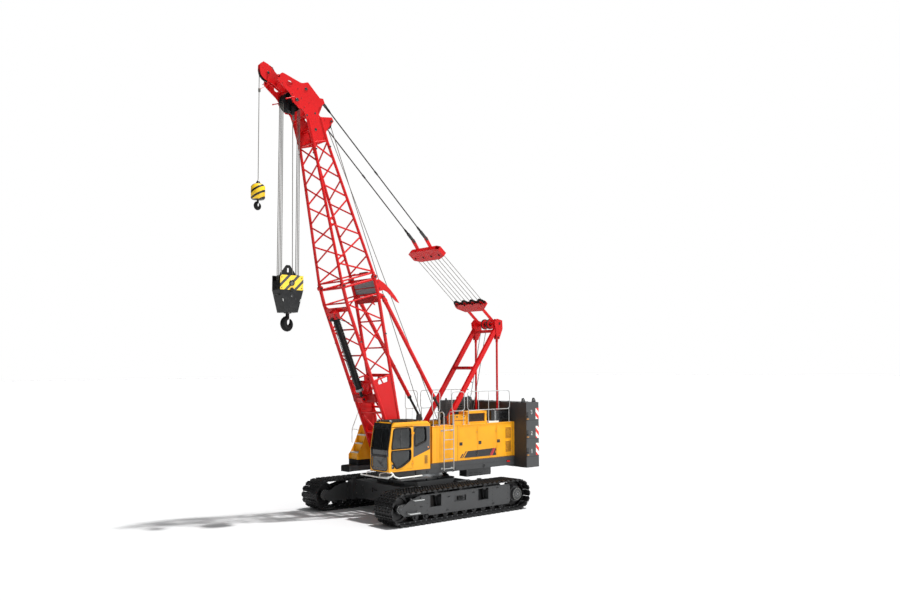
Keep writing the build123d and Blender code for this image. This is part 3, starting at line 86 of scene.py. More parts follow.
class Nodes:
    """A short way to wire a material or a world."""

    def __init__(self, name, owner=None):
        self.mat = owner or bpy.data.materials.new(name)
        self.mat.use_nodes = True
        self.tree = self.mat.node_tree
        self.tree.nodes.clear()
        self.coords = self.new("TexCoord")
        if owner is None:
            self.out = self.new("OutputMaterial")
            self.bsdf = self.new("BsdfPrincipled")
            self.feed(self.out, 0, self.bsdf)

    def new(self, kind, **settings):
        """A node with its settings: attributes, or inputs written with _ for a space."""
        node = self.tree.nodes.new("ShaderNode" + kind)
        self.put(node, **settings)
        return node

    def put(self, node, **settings):
        for key, value in settings.items():
            if hasattr(node, key):
                setattr(node, key, value)
            else:
                node.inputs[key.replace("_", " ")].default_value = value

    def feed(self, node, socket, value, output=0):
        """Gives an input a plain value or another node's output."""
        if isinstance(value, (int, float, list, tuple)):
            node.inputs[socket].default_value = value
        else:
            output = 2 if value.bl_idname == "ShaderNodeMix" else output
            self.tree.links.new(value.outputs[output], node.inputs[socket])
        return node

    def math(self, operation, a, b=None, c=None, clamp=False):
        node = self.new("Math", operation=operation, use_clamp=clamp)
        for index, value in enumerate((a, b, c)):
            if value is not None:
                self.feed(node, index, value)
        return node

    def noise(self, scale, detail=3.0, rough=0.55, stretch=None):
        node = self.new("TexNoise", Scale=scale, Detail=detail, Roughness=rough)
        if stretch:
            mapping = self.feed(self.new("Mapping", Scale=stretch), 0, self.coords, "Object")
            return self.feed(node, "Vector", mapping)
        return self.feed(node, "Vector", self.coords, "Object")

    def ramp(self, source, low, high, output=0):
        return self.feed(self.new("MapRange", From_Min=low, From_Max=high), 0, source, output)

    def mix(self, factor, a, b):
        node = self.new("Mix", data_type="RGBA")
        for socket, value in ((0, factor), (6, a), (7, b)):
            self.feed(node, socket, value)
        return node

    def relief(self, height, strength, output=0):
        lump = self.new("Bump", Strength=strength, Distance=0.004)
        self.feed(lump, "Height", height, output)
        self.feed(self.bsdf, "Normal", lump)
        return lump


def finish(name, colour, rough=0.5, metal=0.0, wear=0.06, bare="8f8c86", dirt=0.04,
           soil="8c7d68", bump=0.05, grain=240.0, coat=0.0, edge=0.005, spec=0.5):
    """A painted, cast or bare surface with rounded edges, worn corners, dust and a fine grain."""
    n = Nodes(name)
    base = shade(colour)
    blot = n.noise(9.0, 5.0, 0.6)
    body = n.mix(n.ramp(n.noise(1.1, 4.0), 0.35, 0.7), base, [c * 0.86 for c in base[:3]] + [1.0])
    # dust lies on what faces up, and runs down the sides in streaks
    geometry = n.new("NewGeometry")
    split = n.feed(n.new("SeparateXYZ"), 0, geometry, "Normal")
    up = n.feed(n.math("MAXIMUM", 0.0, 0.0), 0, split, "Z")
    streak = n.noise(3.0, 4.0, 0.6, stretch=(2.2, 2.2, 0.22))
    streaks = n.math("MULTIPLY", n.ramp(streak, 0.5, 0.85), 0.45)
    settled = n.math("MULTIPLY", up, n.ramp(blot, 0.3, 0.75))
    dust = n.math("MULTIPLY", n.math("ADD", settled, streaks), dirt, clamp=True)
    body = n.mix(dust, body, shade(soil))
    rounded = n.new("Bevel", samples=4, Radius=edge)
    if wear:
        dot = n.feed(n.new("VectorMath", operation="DOT_PRODUCT"), 0, rounded)
        gap = n.ramp(n.feed(dot, 1, geometry, "Normal"), 0.985, 0.90, "Value")
        chips = n.ramp(n.noise(38.0, 5.0, 0.7), 0.56 - 0.2 * wear, 0.66)
        worn = n.math("MULTIPLY", gap, chips, clamp=True)
        body = n.mix(n.math("MULTIPLY", worn, min(1.0, wear * 2)), body, shade(bare))
    spread = n.math("MULTIPLY_ADD", n.ramp(blot, 0.3, 0.8), 0.22, rough - 0.08)
    spread = n.math("ADD", spread, n.math("MULTIPLY", dust, 0.45), clamp=True)
    n.feed(n.bsdf, "Base Color", body)
    n.feed(n.bsdf, "Roughness", spread)
    n.put(n.bsdf, Metallic=metal, Specular_IOR_Level=spec, Coat_Weight=coat, Coat_Roughness=0.12)
    n.feed(n.relief(n.noise(grain, 2.0), bump), "Normal", rounded)
    return n.mat


def glass(name, tint, alpha):
    """A thin tinted pane with faint smears."""
    n = Nodes(name)
    n.put(n.bsdf, Base_Color=shade(tint), Roughness=0.02, Specular_IOR_Level=0.7, Coat_Weight=0.4)
    clear = n.new("BsdfTransparent", Color=shade("cdd6d4"))
    blend = n.new("MixShader")
    n.feed(blend, 0, n.math("MULTIPLY_ADD", n.ramp(n.noise(3.0, 5.0, 0.6), 0.3, 0.9), 0.14, alpha))
    n.feed(n.feed(blend, 1, clear), 2, n.bsdf)
    n.feed(n.out, 0, blend)
    return n.mat


def glow(name, tint, strength):
    n = Nodes(name)
    n.put(n.bsdf, Base_Color=shade(tint), Roughness=0.15)
    n.put(n.bsdf, Emission_Color=shade(tint), Emission_Strength=strength)
    return n.mat


def striped(name, first, second, period, slant, cut=0.5):
    """Diagonal warning stripes in two plain colours, square to the slant direction."""
    n = Nodes(name)
    dot = n.feed(n.new("VectorMath", operation="DOT_PRODUCT"), 0, n.coords, "Object")
    n.feed(dot, 1, slant)
    share = n.math("FRACT", n.feed(n.math("DIVIDE", 0.0, period), 0, dot, "Value"))
    pick = n.mix(n.math("GREATER_THAN", share, cut), shade(first), shade(second))
    chips = n.ramp(n.noise(30.0, 6.0, 0.7), 0.62, 0.7)
    n.feed(n.bsdf, "Base Color", n.mix(n.math("MULTIPLY", chips, 0.3), pick, shade("6c675f")))
    n.put(n.bsdf, Roughness=0.4)
    return n.mat


def rope_finish(name, colour, turn):
    """Laid wire rope: bright strands wound round, with dark grease and painted shade in the grooves between
    them.
    """
    n = Nodes(name)
    wave = n.new("TexWave", wave_type="BANDS", bands_direction="DIAGONAL", Scale=turn, Distortion=0.6)
    n.feed(wave, "Vector", n.coords, "Object")
    # painted shade and grease: the grooves between the strands are darkened along the same waves that make the
    # bump
    grease_and_groove_shade = [c * 0.28 for c in shade(colour)[:3]] + [1.0]
    n.feed(n.bsdf, "Base Color", n.mix(n.ramp(wave, 0.15, 0.85), grease_and_groove_shade, shade(colour)))
    n.put(n.bsdf, Metallic=0.55, Roughness=0.46)
    n.relief(wave, 0.6, 1)
    return n.mat


M = {
    "chassis": finish("chassis_grey", "3f4041", wear=0.09, soil="77746e", bump=0.12),
    "shoe": finish("track_steel", "1c1c1d", metal=0.3, wear=0.14, bare="8b8984", dirt=0.03,
                   soil="77746e", bump=0.4, grain=120.0),
    "machined": finish("machined_steel", "8b8d8f", 0.34, metal=0.85, bare="b9b7b2", dirt=0.25, bump=0.06),
    "cast": finish("cast_metal", "2a2a2b", metal=0.4, wear=0.12, dirt=0.1, bump=0.4, grain=90.0),
    "yellow": finish("body_yellow", "f7aa1c", 0.42, wear=0.07, bare="c8892a", dirt=0.03, soil="b39b72",
                     bump=0.04, coat=0.12, spec=0.25),
    "grey": finish("weight_grey", "404142", wear=0.07, bare="6a6a68", dirt=0.06, bump=0.3, grain=70.0),
    "rail": finish("rail_silver", "b9bbba", 0.38, metal=0.1, wear=0.09, bare="9a9a98", dirt=0.08,
                   edge=0.002),
    "black": finish("gloss_black", "0d0e10", 0.28, bare="4c4c4b", dirt=0.06, soil="8c867b", coat=0.4),
    "glass": glass("window_glass", "14181a", alpha=0.72),
    "seat": finish("seat_black", "1b1c1e", 0.8, wear=0.0, dirt=0.08, bump=0.5, grain=500.0),
    "drum": finish("drum_black", "191a1c", 0.4, metal=0.3, wear=0.12, dirt=0.08, bump=0.12),
    "red": finish("boom_red", "cc060b", 0.42, bare="7a2a20", dirt=0.02, soil="a07060", coat=0.12,
                  spec=0.22),
    "ropes": finish("stay_grey", "2e2e2e", metal=0.2, dirt=0.1, bump=0.3),
    "strand": rope_finish("wire_rope", "8a8781", 14.0),
    "rubber": finish("rubber", "17181a", 0.75, wear=0.0, dirt=0.25, bump=0.25, grain=320.0, spec=0.2),
    "hose": finish("hose_rubber", "1a1b1c", 0.6, wear=0.0, dirt=0.2, bump=0.3, grain=600.0, spec=0.35),
    "bolt": finish("zinc_bolts", "a9a9a3", 0.35, metal=0.85, dirt=0.3, bump=0.1, edge=0.001),
    "tread": finish("tread_plate", "6b6d6f", 0.45, metal=0.3, wear=0.15, bare="b5b3ae", dirt=0.12,
                    bump=0.12),
    "white": finish("white_paint", "e8e8e4", 0.35, dirt=0.06, edge=0.002),
    "inside": finish("cab_lining", "34373a", 0.75, wear=0.0, dirt=0.1, bump=0.35, grain=420.0),
    "grille": finish("grille_brown", "3a2a1c", metal=0.2, dirt=0.08, bump=0.12),
    "weather": finish("dark_grey_paint", "3c3d3f", 0.45, wear=0.07, bare="77746e", dirt=0.12,
                      bump=0.08, edge=0.002),
    "mesh": finish("mesh_grey", "77797b", 0.6, metal=0.2, wear=0.03, dirt=0.1, bump=0.8, grain=60.0),
    "dark_red": finish("shaded_red", "9c0a0c", bare="5b2a22", dirt=0.05, bump=0.06, spec=0.15),
    "tan": finish("tan_lugs", "b9813a", wear=0.09, dirt=0.2, bump=0.1, edge=0.002),
    "lens": glow("lamp_lens", "f4f2e6", 0.35),
    "amber": glow("amber_lens", "ff8a10", 0.25),
    "signal": glow("red_lens", "d4160f", 0.25),
    "screen": glow("display_blue", "24506c", 0.6),
    "hook_stripe": striped("hook_stripes", "f4c61e", "141414", 0.215, (0.47, -0.34, 1.0), cut=0.64),
    "hook_stripe_side": striped("hook_side_stripes", "f8d02a", "303030", 0.34, (1.0, 0, 1.0), cut=0.64),
    "red_stripe": striped("weight_stripes", "d8281f", "eceae4", 0.3, (1.0, 1.0, -1.0)),
    "sheave": finish("sheave_black", "121315", 0.32, metal=0.3, wear=0.1, bare="77746e", bump=0.1,
                     spec=0.2),
    "machined_rod": finish("backstop_rod_black", "232426", 0.3, metal=0.4, wear=0.07, dirt=0.1),
    "socket": finish("socket_black", "161718", 0.42, metal=0.3, wear=0.09, bump=0.3, spec=0.2),
    "hook_black": finish("hook_block_black", "0e0f10", 0.34, metal=0.1, wear=0.07, bare="5f5c56",
                         dirt=0.03, bump=0.12, spec=0.2),
    "forged": finish("forged_hook", "141415", 0.42, metal=0.2, wear=0.09, dirt=0.03, bump=0.3,
                     grain=80.0, spec=0.2),
    "tinted": finish("tinted_border", "33251c", 0.25, wear=0.0, dirt=0.02, bump=0.02, coat=0.5),
    "red_bolt": finish("red_bolts", "8f1010", 0.4, metal=0.2, wear=0.12, bump=0.1, edge=0.001),
    "dark_bolt": finish("black_bolts", "2a2a2b", 0.4, metal=0.5, wear=0.12, dirt=0.05, bump=0.1,
                        edge=0.001),
    "pale": finish("pale_tread", "c4c2ba", wear=0.09, dirt=0.1, bump=0.2, edge=0.002),
    "silencer": finish("silencer_black", "0b0c0e", 0.2, wear=0.04, bare="3c3c3b", dirt=0.03, bump=0.03,
                       coat=0.6),
    "ram": finish("cylinder_black", "131416", 0.32, metal=0.1, wear=0.07, bump=0.06, spec=0.2),
    "cabin": finish("cab_frame_black", "101113", 0.35, spec=0.2),
    "decal_black": finish("decal_black", "17171a", 0.4, wear=0.03, dirt=0.12, bump=0.02, coat=0.2),
    "decal_red": finish("decal_red", "c8262b", 0.4, wear=0.03, dirt=0.12, bump=0.02, coat=0.2),
}

finish_of = {
    "chassis": ("carbody", "side_frames", "upper_frame", "left_catwalk", "counterweight_tray"),
    "shoe": ("left_track", "right_track"),
    "machined": ("slewing_ring",),
    "ram": ("assembly_cylinder",),
    "cast": ("engine", "drive_sprockets", "idler_wheels", "track_rollers"),
    "yellow": ("side_houses", "rear_cover", "cooler_box", "cab_floor", "cab_roof", "cab_right_wall",
               "cab_left_wall", "cab_rear_wall", "cab_front_frame", "cab_door", "left_front_door",
               "left_middle_door", "left_rear_door", "right_side_door", "fuel_tank_steps"),
    "grey": ("counterweight_slabs", "right_roof_module"),
    "rail": ("roof_rails", "ladder"),
    "silencer": ("silencer",),
    "glass": ("cab_glass", "cab_door_glass"),
    "seat": ("operator_seat",),
    "drum": ("main_winch_drum", "auxiliary_winch_drum", "boom_hoist_drum"),
    "red": ("gantry", "gantry_back_links", "gantry_sheave_block", "floating_bail", "boom_base", "boom_top",
            "backstop_tubes"),
    "ropes": ("boom_stays",),
    "sheave": ("main_head_sheaves", "tip_sheave", "deflector_sheaves"),
    "machined_rod": ("backstop_rods",),
    "socket": ("main_rope_socket", "auxiliary_limit_weight"),
    "hook_black": ("main_hook_block", "auxiliary_hook_block"),
    "forged": ("main_hook", "auxiliary_hook"),
}

for look, names in finish_of.items():
    for node_name in names:
        nodes[node_name].data.materials.clear()
        nodes[node_name].data.materials.append(M[look])


# ------------------------------------------------------------------ shapes
BOX_FACES = [(0, 1, 3, 2), (4, 6, 7, 5), (0, 4, 5, 1), (2, 3, 7, 6), (0, 2, 6, 4), (1, 5, 7, 3)]


def axes(at, axis):
    """A point and three square directions, the first along an axis."""
    w = Vector(axis).normalized()
    u = w.orthogonal().normalized()
    return Vector(at), w, u, w.cross(u)


def band_faces(rows, sides, count):
    """Quads between rows of points; count rows of them, the last one back to the start if it must."""
    return [(r * sides + i, r * sides + (i + 1) % sides, (r + 1) % rows * sides + (i + 1) % sides,
             (r + 1) % rows * sides + i) for r in range(count) for i in range(sides)]


class Piece:
    """Collects solids in millimetres and makes them one mesh that rides a CAD body."""

    def __init__(self, name, body, *mats, place=P):
        self.name, self.body, self.mats, self.place = name, body, mats, place
        self.verts, self.faces, self.mat_index, self.smooth = [], [], [], []

    def add(self, verts, faces, mat=0, smooth=False):
        base = len(self.verts)
        self.verts += [Vector(v) for v in verts]
        self.faces += [[base + i for i in face] for face in faces]
        self.mat_index += [mat] * len(faces)
        self.smooth += [smooth] * len(faces)
        return self

    def box(self, x0, x1, y0, y1, z0, z1, mat=0):
        spans = [sorted(span) for span in ((x0, x1), (y0, y1), (z0, z1))]
        return self.add([(x, y, z) for x in spans[0] for y in spans[1] for z in spans[2]], BOX_FACES, mat)

    def brick(self, centre, a, b, c, mat=0):
        """A box from its centre and three half edges."""
        o, a, b, c = Vector(centre), Vector(a), Vector(b), Vector(c)
        if a.cross(b).dot(c) < 0:
            c = -c
        corners = [o + i * a + j * b + k * c for i in (-1, 1) for j in (-1, 1) for k in (-1, 1)]
        return self.add(corners, BOX_FACES, mat)

    def treads(self, xs, ys, z, long, thin, high, mat):
        """Raised bars in turned pairs, as on tread plate."""
        for i, x in enumerate(xs):
            for j, y in enumerate(ys):
                turn = 1 if (i + j) % 2 else -1
                self.brick((x, y, z), (long, long * turn, 0), (thin, -thin * turn, 0), (0, 0, high), mat)

    def prism(self, outline, shift, mat=0):
        """A flat outline (3-D points) pushed along shift."""
        pts, move = [Vector(p) for p in outline], Vector(shift)
        normal = Vector((0, 0, 0))
        for i, p in enumerate(pts):
            q = pts[(i + 1) % len(pts)]
            normal += p.cross(q)
        if normal.dot(move) < 0:
            pts.reverse()
        count = len(pts)
        sides = [(i, (i + 1) % count, count + (i + 1) % count, count + i) for i in range(count)]
        ends = [tuple(range(count))[::-1], tuple(range(count, 2 * count))]
        return self.add(pts + [p + move for p in pts], ends + sides, mat)

    def plate(self, outline, y0, y1, mat=0):
        """An (x, z) outline from y0 to y1."""
        return self.prism([(x, min(y0, y1), z) for x, z in outline], (0, abs(y1 - y0), 0), mat)

    def slab(self, outline, w, thick, mat=0):
        """An outline in the first two coordinates, from w on by thick."""
        return self.prism([(a, b, w) for a, b in outline], (0, 0, thick), mat)

    def spin(self, centre, axis, profile, mat=0, sides=32, smooth=True, close=False):
        """(radius, height) points turned about an axis; ends with radius 0 close by themselves."""
        o, w, u, v = axes(centre, axis)
        turns = [2 * pi * i / sides for i in range(sides)]
        verts = [o + w * rise + (u * cos(t) + v * sin(t)) * wide for wide, rise in profile for t in turns]
        rows = len(profile)
        return self.add(verts, band_faces(rows, sides, rows if close else rows - 1), mat, smooth)

    def rod(self, start, end, radius, mat=0, sides=14, tip=None):
        a, b = Vector(start), Vector(end)
        run = (b - a).length
        tip = radius if tip is None else tip
        self.spin(a, b - a, [(radius, 0), (tip, run)], mat, sides)
        self.spin(a, b - a, [(0.01, 0), (radius, 0)], mat, sides, False)
        return self.spin(a, b - a, [(tip, run), (0.01, run)], mat, sides, False)

    def tube(self, points, radius, mat=0, sides=12, loop=False):
        """A round tube along points, mitred at each of them."""
        pts = [Vector(p) for p in points]
        count = len(pts)
        if loop:
            heads = [(pts[(i + 1) % count] - pts[i - 1]).normalized() for i in range(count)]
        else:
            heads = [(pts[min(i + 1, count - 1)] - pts[max(i - 1, 0)]).normalized() for i in range(count)]
        side = heads[0].orthogonal().normalized()
        turns = [2 * pi * k / sides for k in range(sides)]
        verts = []
        for p, head in zip(pts, heads):
            side = (side - head * side.dot(head)).normalized()
            other = head.cross(side)
            verts += [p + (side * cos(t) + other * sin(t)) * radius for t in turns]
        self.add(verts, band_faces(count, sides, count if loop else count - 1), mat, True)
        if not loop:
            self.add(verts[:sides][::-1], [tuple(range(sides))], mat)
            self.add(verts[-sides:], [tuple(range(sides))], mat)
        return self

    def pipe(self, points, corner, radius, mat, sides=8):
        """A tube with its corners rounded."""
        return self.tube(bent(points, corner), radius, mat, sides)

    def hose(self, points, steps, radius, mat, sides=8):
        """A tube on a smooth run through the points."""
        return self.tube(smooth_path(points, steps), radius, mat, sides)

    def ring(self, x, y, z, reach, count, radius, mat=0, sides=6):
        """A round loop of tube in an upright plane."""
        return self.tube([(a, y, b) for a, b in arc(x, z, reach, count)], radius, mat, sides, True)

    def handle(self, a, b, out, corner, radius, mat, sides=8):
        """A bent bar that leaves a surface at a, stands off by out and comes back at b."""
        a, b, out = Vector(a), Vector(b), Vector(out)
        return self.pipe([a, a + out, b + out, b], corner, radius, mat, sides)

    def louvre(self, x, y, z, wide, out, drop, mat):
        """A slanted blade with its root at y and z, and its lip that much further out and lower."""
        blade = [(x, y, z), (x, y + out, z - drop), (x, y + out, z - drop - 4), (x, y, z - 6)]
        return self.prism(blade, (wide, 0, 0), mat)

    def bolt(self, at, axis, radius=11, height=9, mat=0):
        o, w = Vector(at), Vector(axis).normalized()
        washer, head = radius * 1.35, height * 1.1
        self.spin(o, w, [(washer, 0), (washer, height * 0.25), (0.01, height * 0.25)], mat, 12, False)
        profile = [(radius, height * 0.2), (radius, height), (radius * 0.86, head), (0.01, head)]
        return self.spin(o, w, profile, mat, 6, False)

    def ring_of_bolts(self, centre, axis, reach, count, radius=11, height=9, mat=0):
        o, w, u, v = axes(centre, axis)
        for t in [2 * pi * i / count for i in range(count)]:
            self.bolt(o + (u * cos(t) + v * sin(t)) * reach, w, radius, height, mat)

    def ball(self, centre, radius, mat=0, sides=16, squash=(1, 1, 1)):
        rows = sides // 2
        o, (sx, sy, sz) = Vector(centre), squash
        verts, faces = [], []
        for r in range(rows + 1):
            low = pi * r / rows
            for i in range(sides):
                t = 2 * pi * i / sides
                verts.append(o + Vector((radius * sin(low) * cos(t) * sx, radius * sin(low) * sin(t) * sy,
                                         radius * cos(low) * sz)))
        for r in range(rows):
            for i in range(sides):
                a, b = r * sides + i, r * sides + (i + 1) % sides
                faces.append((a, a + sides, b + sides, b))
        return self.add(verts, faces, mat, True)

    def make(self, bevel=0.0, ride=True):
        mesh = bpy.data.meshes.new(self.name)
        mesh.from_pydata([self.place(*v) for v in self.verts], [], self.faces)
        for mat in self.mats:
            mesh.materials.append(M[mat])
        mesh.polygons.foreach_set("material_index", self.mat_index)
        mesh.polygons.foreach_set("use_smooth", self.smooth)
        mesh.update()
        obj = bpy.data.objects.new(self.name, mesh)
        bpy.context.scene.collection.objects.link(obj)
        if bevel:
            edge = obj.modifiers.new("edges", "BEVEL")
            edge.width = bevel / 1000
            edge.segments = 2
            edge.limit_method = "ANGLE"
            edge.angle_limit = radians(50)
        if ride:
            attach(obj, self.body)
        return obj


def smooth_path(points, steps=6):
    """A rounded run through the points (Catmull-Rom)."""
    pts = [Vector(p) for p in points]
    ends = [pts[0] * 2 - pts[1]] + pts + [pts[-1] * 2 - pts[-2]]
    run = []
    for i in range(1, len(ends) - 2):
        a, b, c, d = ends[i - 1:i + 3]
        for t in [k / steps for k in range(steps)]:
            bend, twist = 2 * a - 5 * b + 4 * c - d, 3 * b - a - 3 * c + d
            run.append(0.5 * ((2 * b) + (c - a) * t + bend * t * t + twist * t ** 3))
    return run + [pts[-1]]


def corner_points(a, b, c, radius, share, steps):
    """The rounded corner b between a and c."""
    into, out = (a - b), (c - b)
    cut = min(radius, into.length * share, out.length * share)
    start, end = b + into.normalized() * cut, b + out.normalized() * cut
    shares = [k / steps for k in range(steps + 1)]
    return [start * (1 - t) ** 2 + b * 2 * t * (1 - t) + end * t * t for t in shares]


def bent(points, radius, steps=5):
    """A tube's centre line with its corners rounded to a radius."""
    pts = [Vector(p) for p in points]
    run = [pts[0]]
    for a, b, c in zip(pts, pts[1:], pts[2:]):
        run += corner_points(a, b, c, radius, 0.45, steps)
    return run + [pts[-1]]


# ------------------------------------------------------------------ tracks
WHEEL_X, WHEEL_Z, LOOP_R, SHOES = 2597.5, 552.5, 502.5, 60
TRACK_Y = 2290
STRAIGHT, ARC = 2 * WHEEL_X, pi * LOOP_R
PITCH = 2 * (STRAIGHT + ARC) / SHOES


def loop_point(distance, out=0.0):
    """A point (x, z) of the track's loop, back along the ground and forward over the top."""
    distance %= 2 * (STRAIGHT + ARC)
    if distance < STRAIGHT:
        x, z, a, b = WHEEL_X - distance, -LOOP_R, 0, -1
    elif distance < STRAIGHT + ARC:
        t = (distance - STRAIGHT) / LOOP_R
        a, b = -sin(t), -cos(t)
        x, z = -WHEEL_X + LOOP_R * a, LOOP_R * b
    elif distance < 2 * STRAIGHT + ARC:
        x, z, a, b = distance - STRAIGHT - ARC - WHEEL_X, LOOP_R, 0, 1
    else:
        t = (distance - 2 * STRAIGHT - ARC) / LOOP_R
        a, b = sin(t), cos(t)
        x, z = WHEEL_X + LOOP_R * a, LOOP_R * b
    return Vector((x + out * a, 0, WHEEL_Z + z + out * b))


def track_shoes(name, side):
    """Sixty cast shoes with two bars each, their link lugs and pins."""
    piece = Piece(name, "undercarriage", "shoe", "machined")
    y = side * TRACK_Y
    for shoe in range(SHOES):
        a, b = loop_point(shoe * PITCH), loop_point((shoe + 1) * PITCH)
        run = (b - a).normalized()
        across = Vector(LEFT)
        out = across.cross(run)
        middle = (a + b) / 2
        if out.dot(middle - Vector((0, 0, WHEEL_Z))) < 0 and abs(middle.x) < WHEEL_X:
            out = -out
        elif abs(middle.x) >= WHEEL_X:
            centre = Vector((WHEEL_X if middle.x > 0 else -WHEEL_X, 0, WHEEL_Z))
            if out.dot(middle - centre) < 0:
                out = -out
        half = PITCH / 2 - 9

        def at(t, w, n):
            return middle + run * t + across * (y + w) + out * n

        def lump(t0, t1, w0, w1, n0, n1, mat=0):
            piece.brick(at((t0 + t1) / 2, (w0 + w1) / 2, (n0 + n1) / 2), run * ((t1 - t0) / 2),
                        across * ((w1 - w0) / 2), out * ((n1 - n0) / 2), mat)

        # the pad, its thinner leading lip and its clipped ends
        outline = [(-half, -470), (-half + 30, -500), (half - 30, -500), (half, -470), (half, 470),
                   (half - 30, 500), (-half + 30, 500), (-half, 470)]
        piece.prism([at(t, w, -14) for t, w in outline], out * 26)
        lump(-20, 12, -488, 488, 11, 27)
        for row in range(6):
            w = -400 + 160 * row
            lump(-74, -32, w - 52, w + 52, 11, 49)
            lump(24, 66, w - 52, w + 52, 11, 49)
        for w in (-478, 478):
            lump(-60, 60, w - 18, w + 18, 11, 44)
        # link lugs below the pad, with the pin between neighbours
        for w in (-145, 145):
            lump(-half + 12, half - 12, w - 33, w + 33, -58, 1)
            lump(-half - 18, -half + 30, w - 20, w + 20, -52, -6)
        pin = -PITCH / 2
        piece.rod(at(pin, -182, -30), at(pin, 182, -30), 22, 1, 10)
        for w in (-42, 42):
            lump(-34, 34, w - 18, w + 18, -46, 1)
    return piece.make()


for side_name, side in (("left", 1), ("right", -1)):
    shoes = track_shoes(f"{side_name}_track_shoes", side)
    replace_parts(shoes, f"{side_name}_track")

gear = Piece("final_drive_covers", "undercarriage", "chassis", "bolt", "machined", "black")
for side in (1, -1):
    out = (0, side, 0)
    y = side * (TRACK_Y + 350)
    # planetary gear case at the rear, idler hub at the front
    case = [(224, -60), (224, -2), (214, 8), (176, 12), (170, 22), (120, 30), (0.01, 30)]
    gear.spin((-WHEEL_X, y, WHEEL_Z), out, case)
    gear.ring_of_bolts((-WHEEL_X, y + side * 8, WHEEL_Z), out, 196, 24, 10, 11, 1)
    gear.ring_of_bolts((-WHEEL_X, y + side * 28, WHEEL_Z), out, 96, 10, 9, 9, 1)
    gear.spin((-WHEEL_X, y + side * 29, WHEEL_Z), out, [(30, 0), (30, 10), (0.01, 12)], 2)
    for t in (0.6, 2.7, 4.8):
        x, z = -WHEEL_X + 140 * cos(t), WHEEL_Z + 140 * sin(t)
        gear.rod((x, y + side * 20, z), (x, y + side * 34, z), 13, 3, 8)
    face = side * (TRACK_Y + 240)
    gear.spin((WHEEL_X, face, WHEEL_Z), out, [(150, -2), (150, 14), (140, 20), (96, 24), (90, 44), (0.01, 46)])
    gear.ring_of_bolts((WHEEL_X, face + side * 19, WHEEL_Z), out, 122, 12, 9, 9, 1)
    gear.rod((WHEEL_X, face + side * 44, WHEEL_Z), (WHEEL_X, face + side * 58, WHEEL_Z), 12, 2, 8)
    # hub rings on the inner faces
    inner = side * (TRACK_Y - 240)
    for x in (-WHEEL_X, WHEEL_X):
        gear.spin((x, inner, WHEEL_Z), (0, -side, 0), [(190, -2), (190, 16), (150, 22), (0.01, 26)], 0)
        gear.ring_of_bolts((x, inner - side * 18, WHEEL_Z), (0, -side, 0), 166, 14, 9, 9, 1)
gear.make(bevel=2)


# ------------------------------------------------------------------ side frames and carbody
skin = TRACK_Y + 270
under = Piece("side_frame_fittings", "undercarriage", "chassis", "dark_bolt", "rubber", "rail", "hose",
              "dark_bolt")
for side in (1, -1):
    y = side * skin
    out = (0, side, 0)
    # slanted stiffeners inside the two hand holes and a sheet across the back of each, all near-black: painted
    # shade inside the holes
    for x0, x1 in ((900, 1370), (-1250, -780)):
        back = y - side * 195
        a = Vector((x0 + 110, back, 505))
        under.prism([a, a + Vector((24, 0, 0)), a + Vector((104, 0, 390)), a + Vector((80, 0, 390))],
                    (0, side * 100, 0), 2)
        under.box(x0 - 5, x1 + 5, back - side * 6, back, 500, 900, 2)
        # rolled rim round the hole
        for z in (498, 902):
            under.box(x0 - 14, x1 + 14, y - side * 4, y + side * 7, z - 7, z + 7)
        for x in (x0 - 7, x1 + 7):
            under.box(x - 7, x + 7, y - side * 4, y + side * 7, 505, 895)
    # the tensioner's grease fitting and valve block in the middle recess
    under.box(-70, 150, y - side * 50, y - side * 8, 610, 735, 2)
    for x in (-40, 20, 80, 125):
        under.rod((x, y - side * 30, 670), (x, y + side * 12, 670), 17, 5, 10)
    under.rod((-180, y - side * 30, 660), (-70, y - side * 30, 660), 12, 4, 8)
    # small eyes and brackets on the skin
    for x, z in ((560, 770), (-1700, 860), (-560, 800), (1750, 560), (620, 330), (-1500, 330)):
        under.box(x - 45, x + 45, y - side * 2, y + side * 14, z - 26, z + 26, 0)
        for dx in (-28, 28):
            under.bolt((x + dx, y + side * 14, z), out, 8, 8, 1)
        under.rod((x - 20, y + side * 26, z), (x + 20, y + side * 26, z), 9, 2, 8)
    # two folding steps towards the front
    for x, z, wide in ((1980, 800, 420), (2150, 380, 420)):
        x0, x1 = x - wide / 2, x + wide / 2
        back = y - side * 4
        under.handle((x0, back, z + 45), (x1, back, z + 45), (0, side * 209, -35), 30, 13, 3, 10)
        for k in range(1, 6):
            t = y + side * (30 + 30 * k)
            under.box(x0 + 8, x1 - 8, t - 6, t + 6, z + 4, z + 20, 3)
        for xx in (x0, x1):
            under.box(xx - 22, xx + 22, y - side * 4, y + side * 10, z + 5, z + 85, 0)
            under.bolt((xx, y + side * 10, z + 70), out, 8, 8, 1)
    # bolts along the skin's joints
    for x in (-2200, -1450, 1500, 2020):
        for z in (300, 420, 640, 760, 860):
            if x > 1900 and z > 800 or x > 1400 and z < 360:
                continue
            under.bolt((x, y, z), out, 11, 10, 1)
    # weld beads along the top and foot flanges
    for z, x0, x1 in ((926, -2240, 1800), (246, -2240, 1450)):
        under.box(x0, x1, y - side * 36, y - side * 2, z - 7, z + 7, 0)
    # travel motor hoses on the inner side
    inner = side * (TRACK_Y - 275)
    for k in range(3):
        under.hose([(-1250, inner - side * 60, 760 - 34 * k), (-1600, inner - side * 25, 800 - 36 * k),
                    (-2100, inner - side * 22, 720 - 30 * k), (-2420, inner + side * 10, 640 - 20 * k)], 5, 15,
                   4)
    # pins that lock each cross beam to its side frame
    for x in (-1175, 1175):
        for dx in (-230, 230):
            under.rod((x + dx, side * 1960, 1032), (x + dx, side * 1960, 1078), 42, 5, 14)
            under.box(x + dx - 55, x + dx + 55, side * 1905, side * 2015, 1028, 1040, 0)
under.make(bevel=2)

centre = Piece("carbody_fittings", "undercarriage", "chassis", "bolt", "tread", "black", "hose")
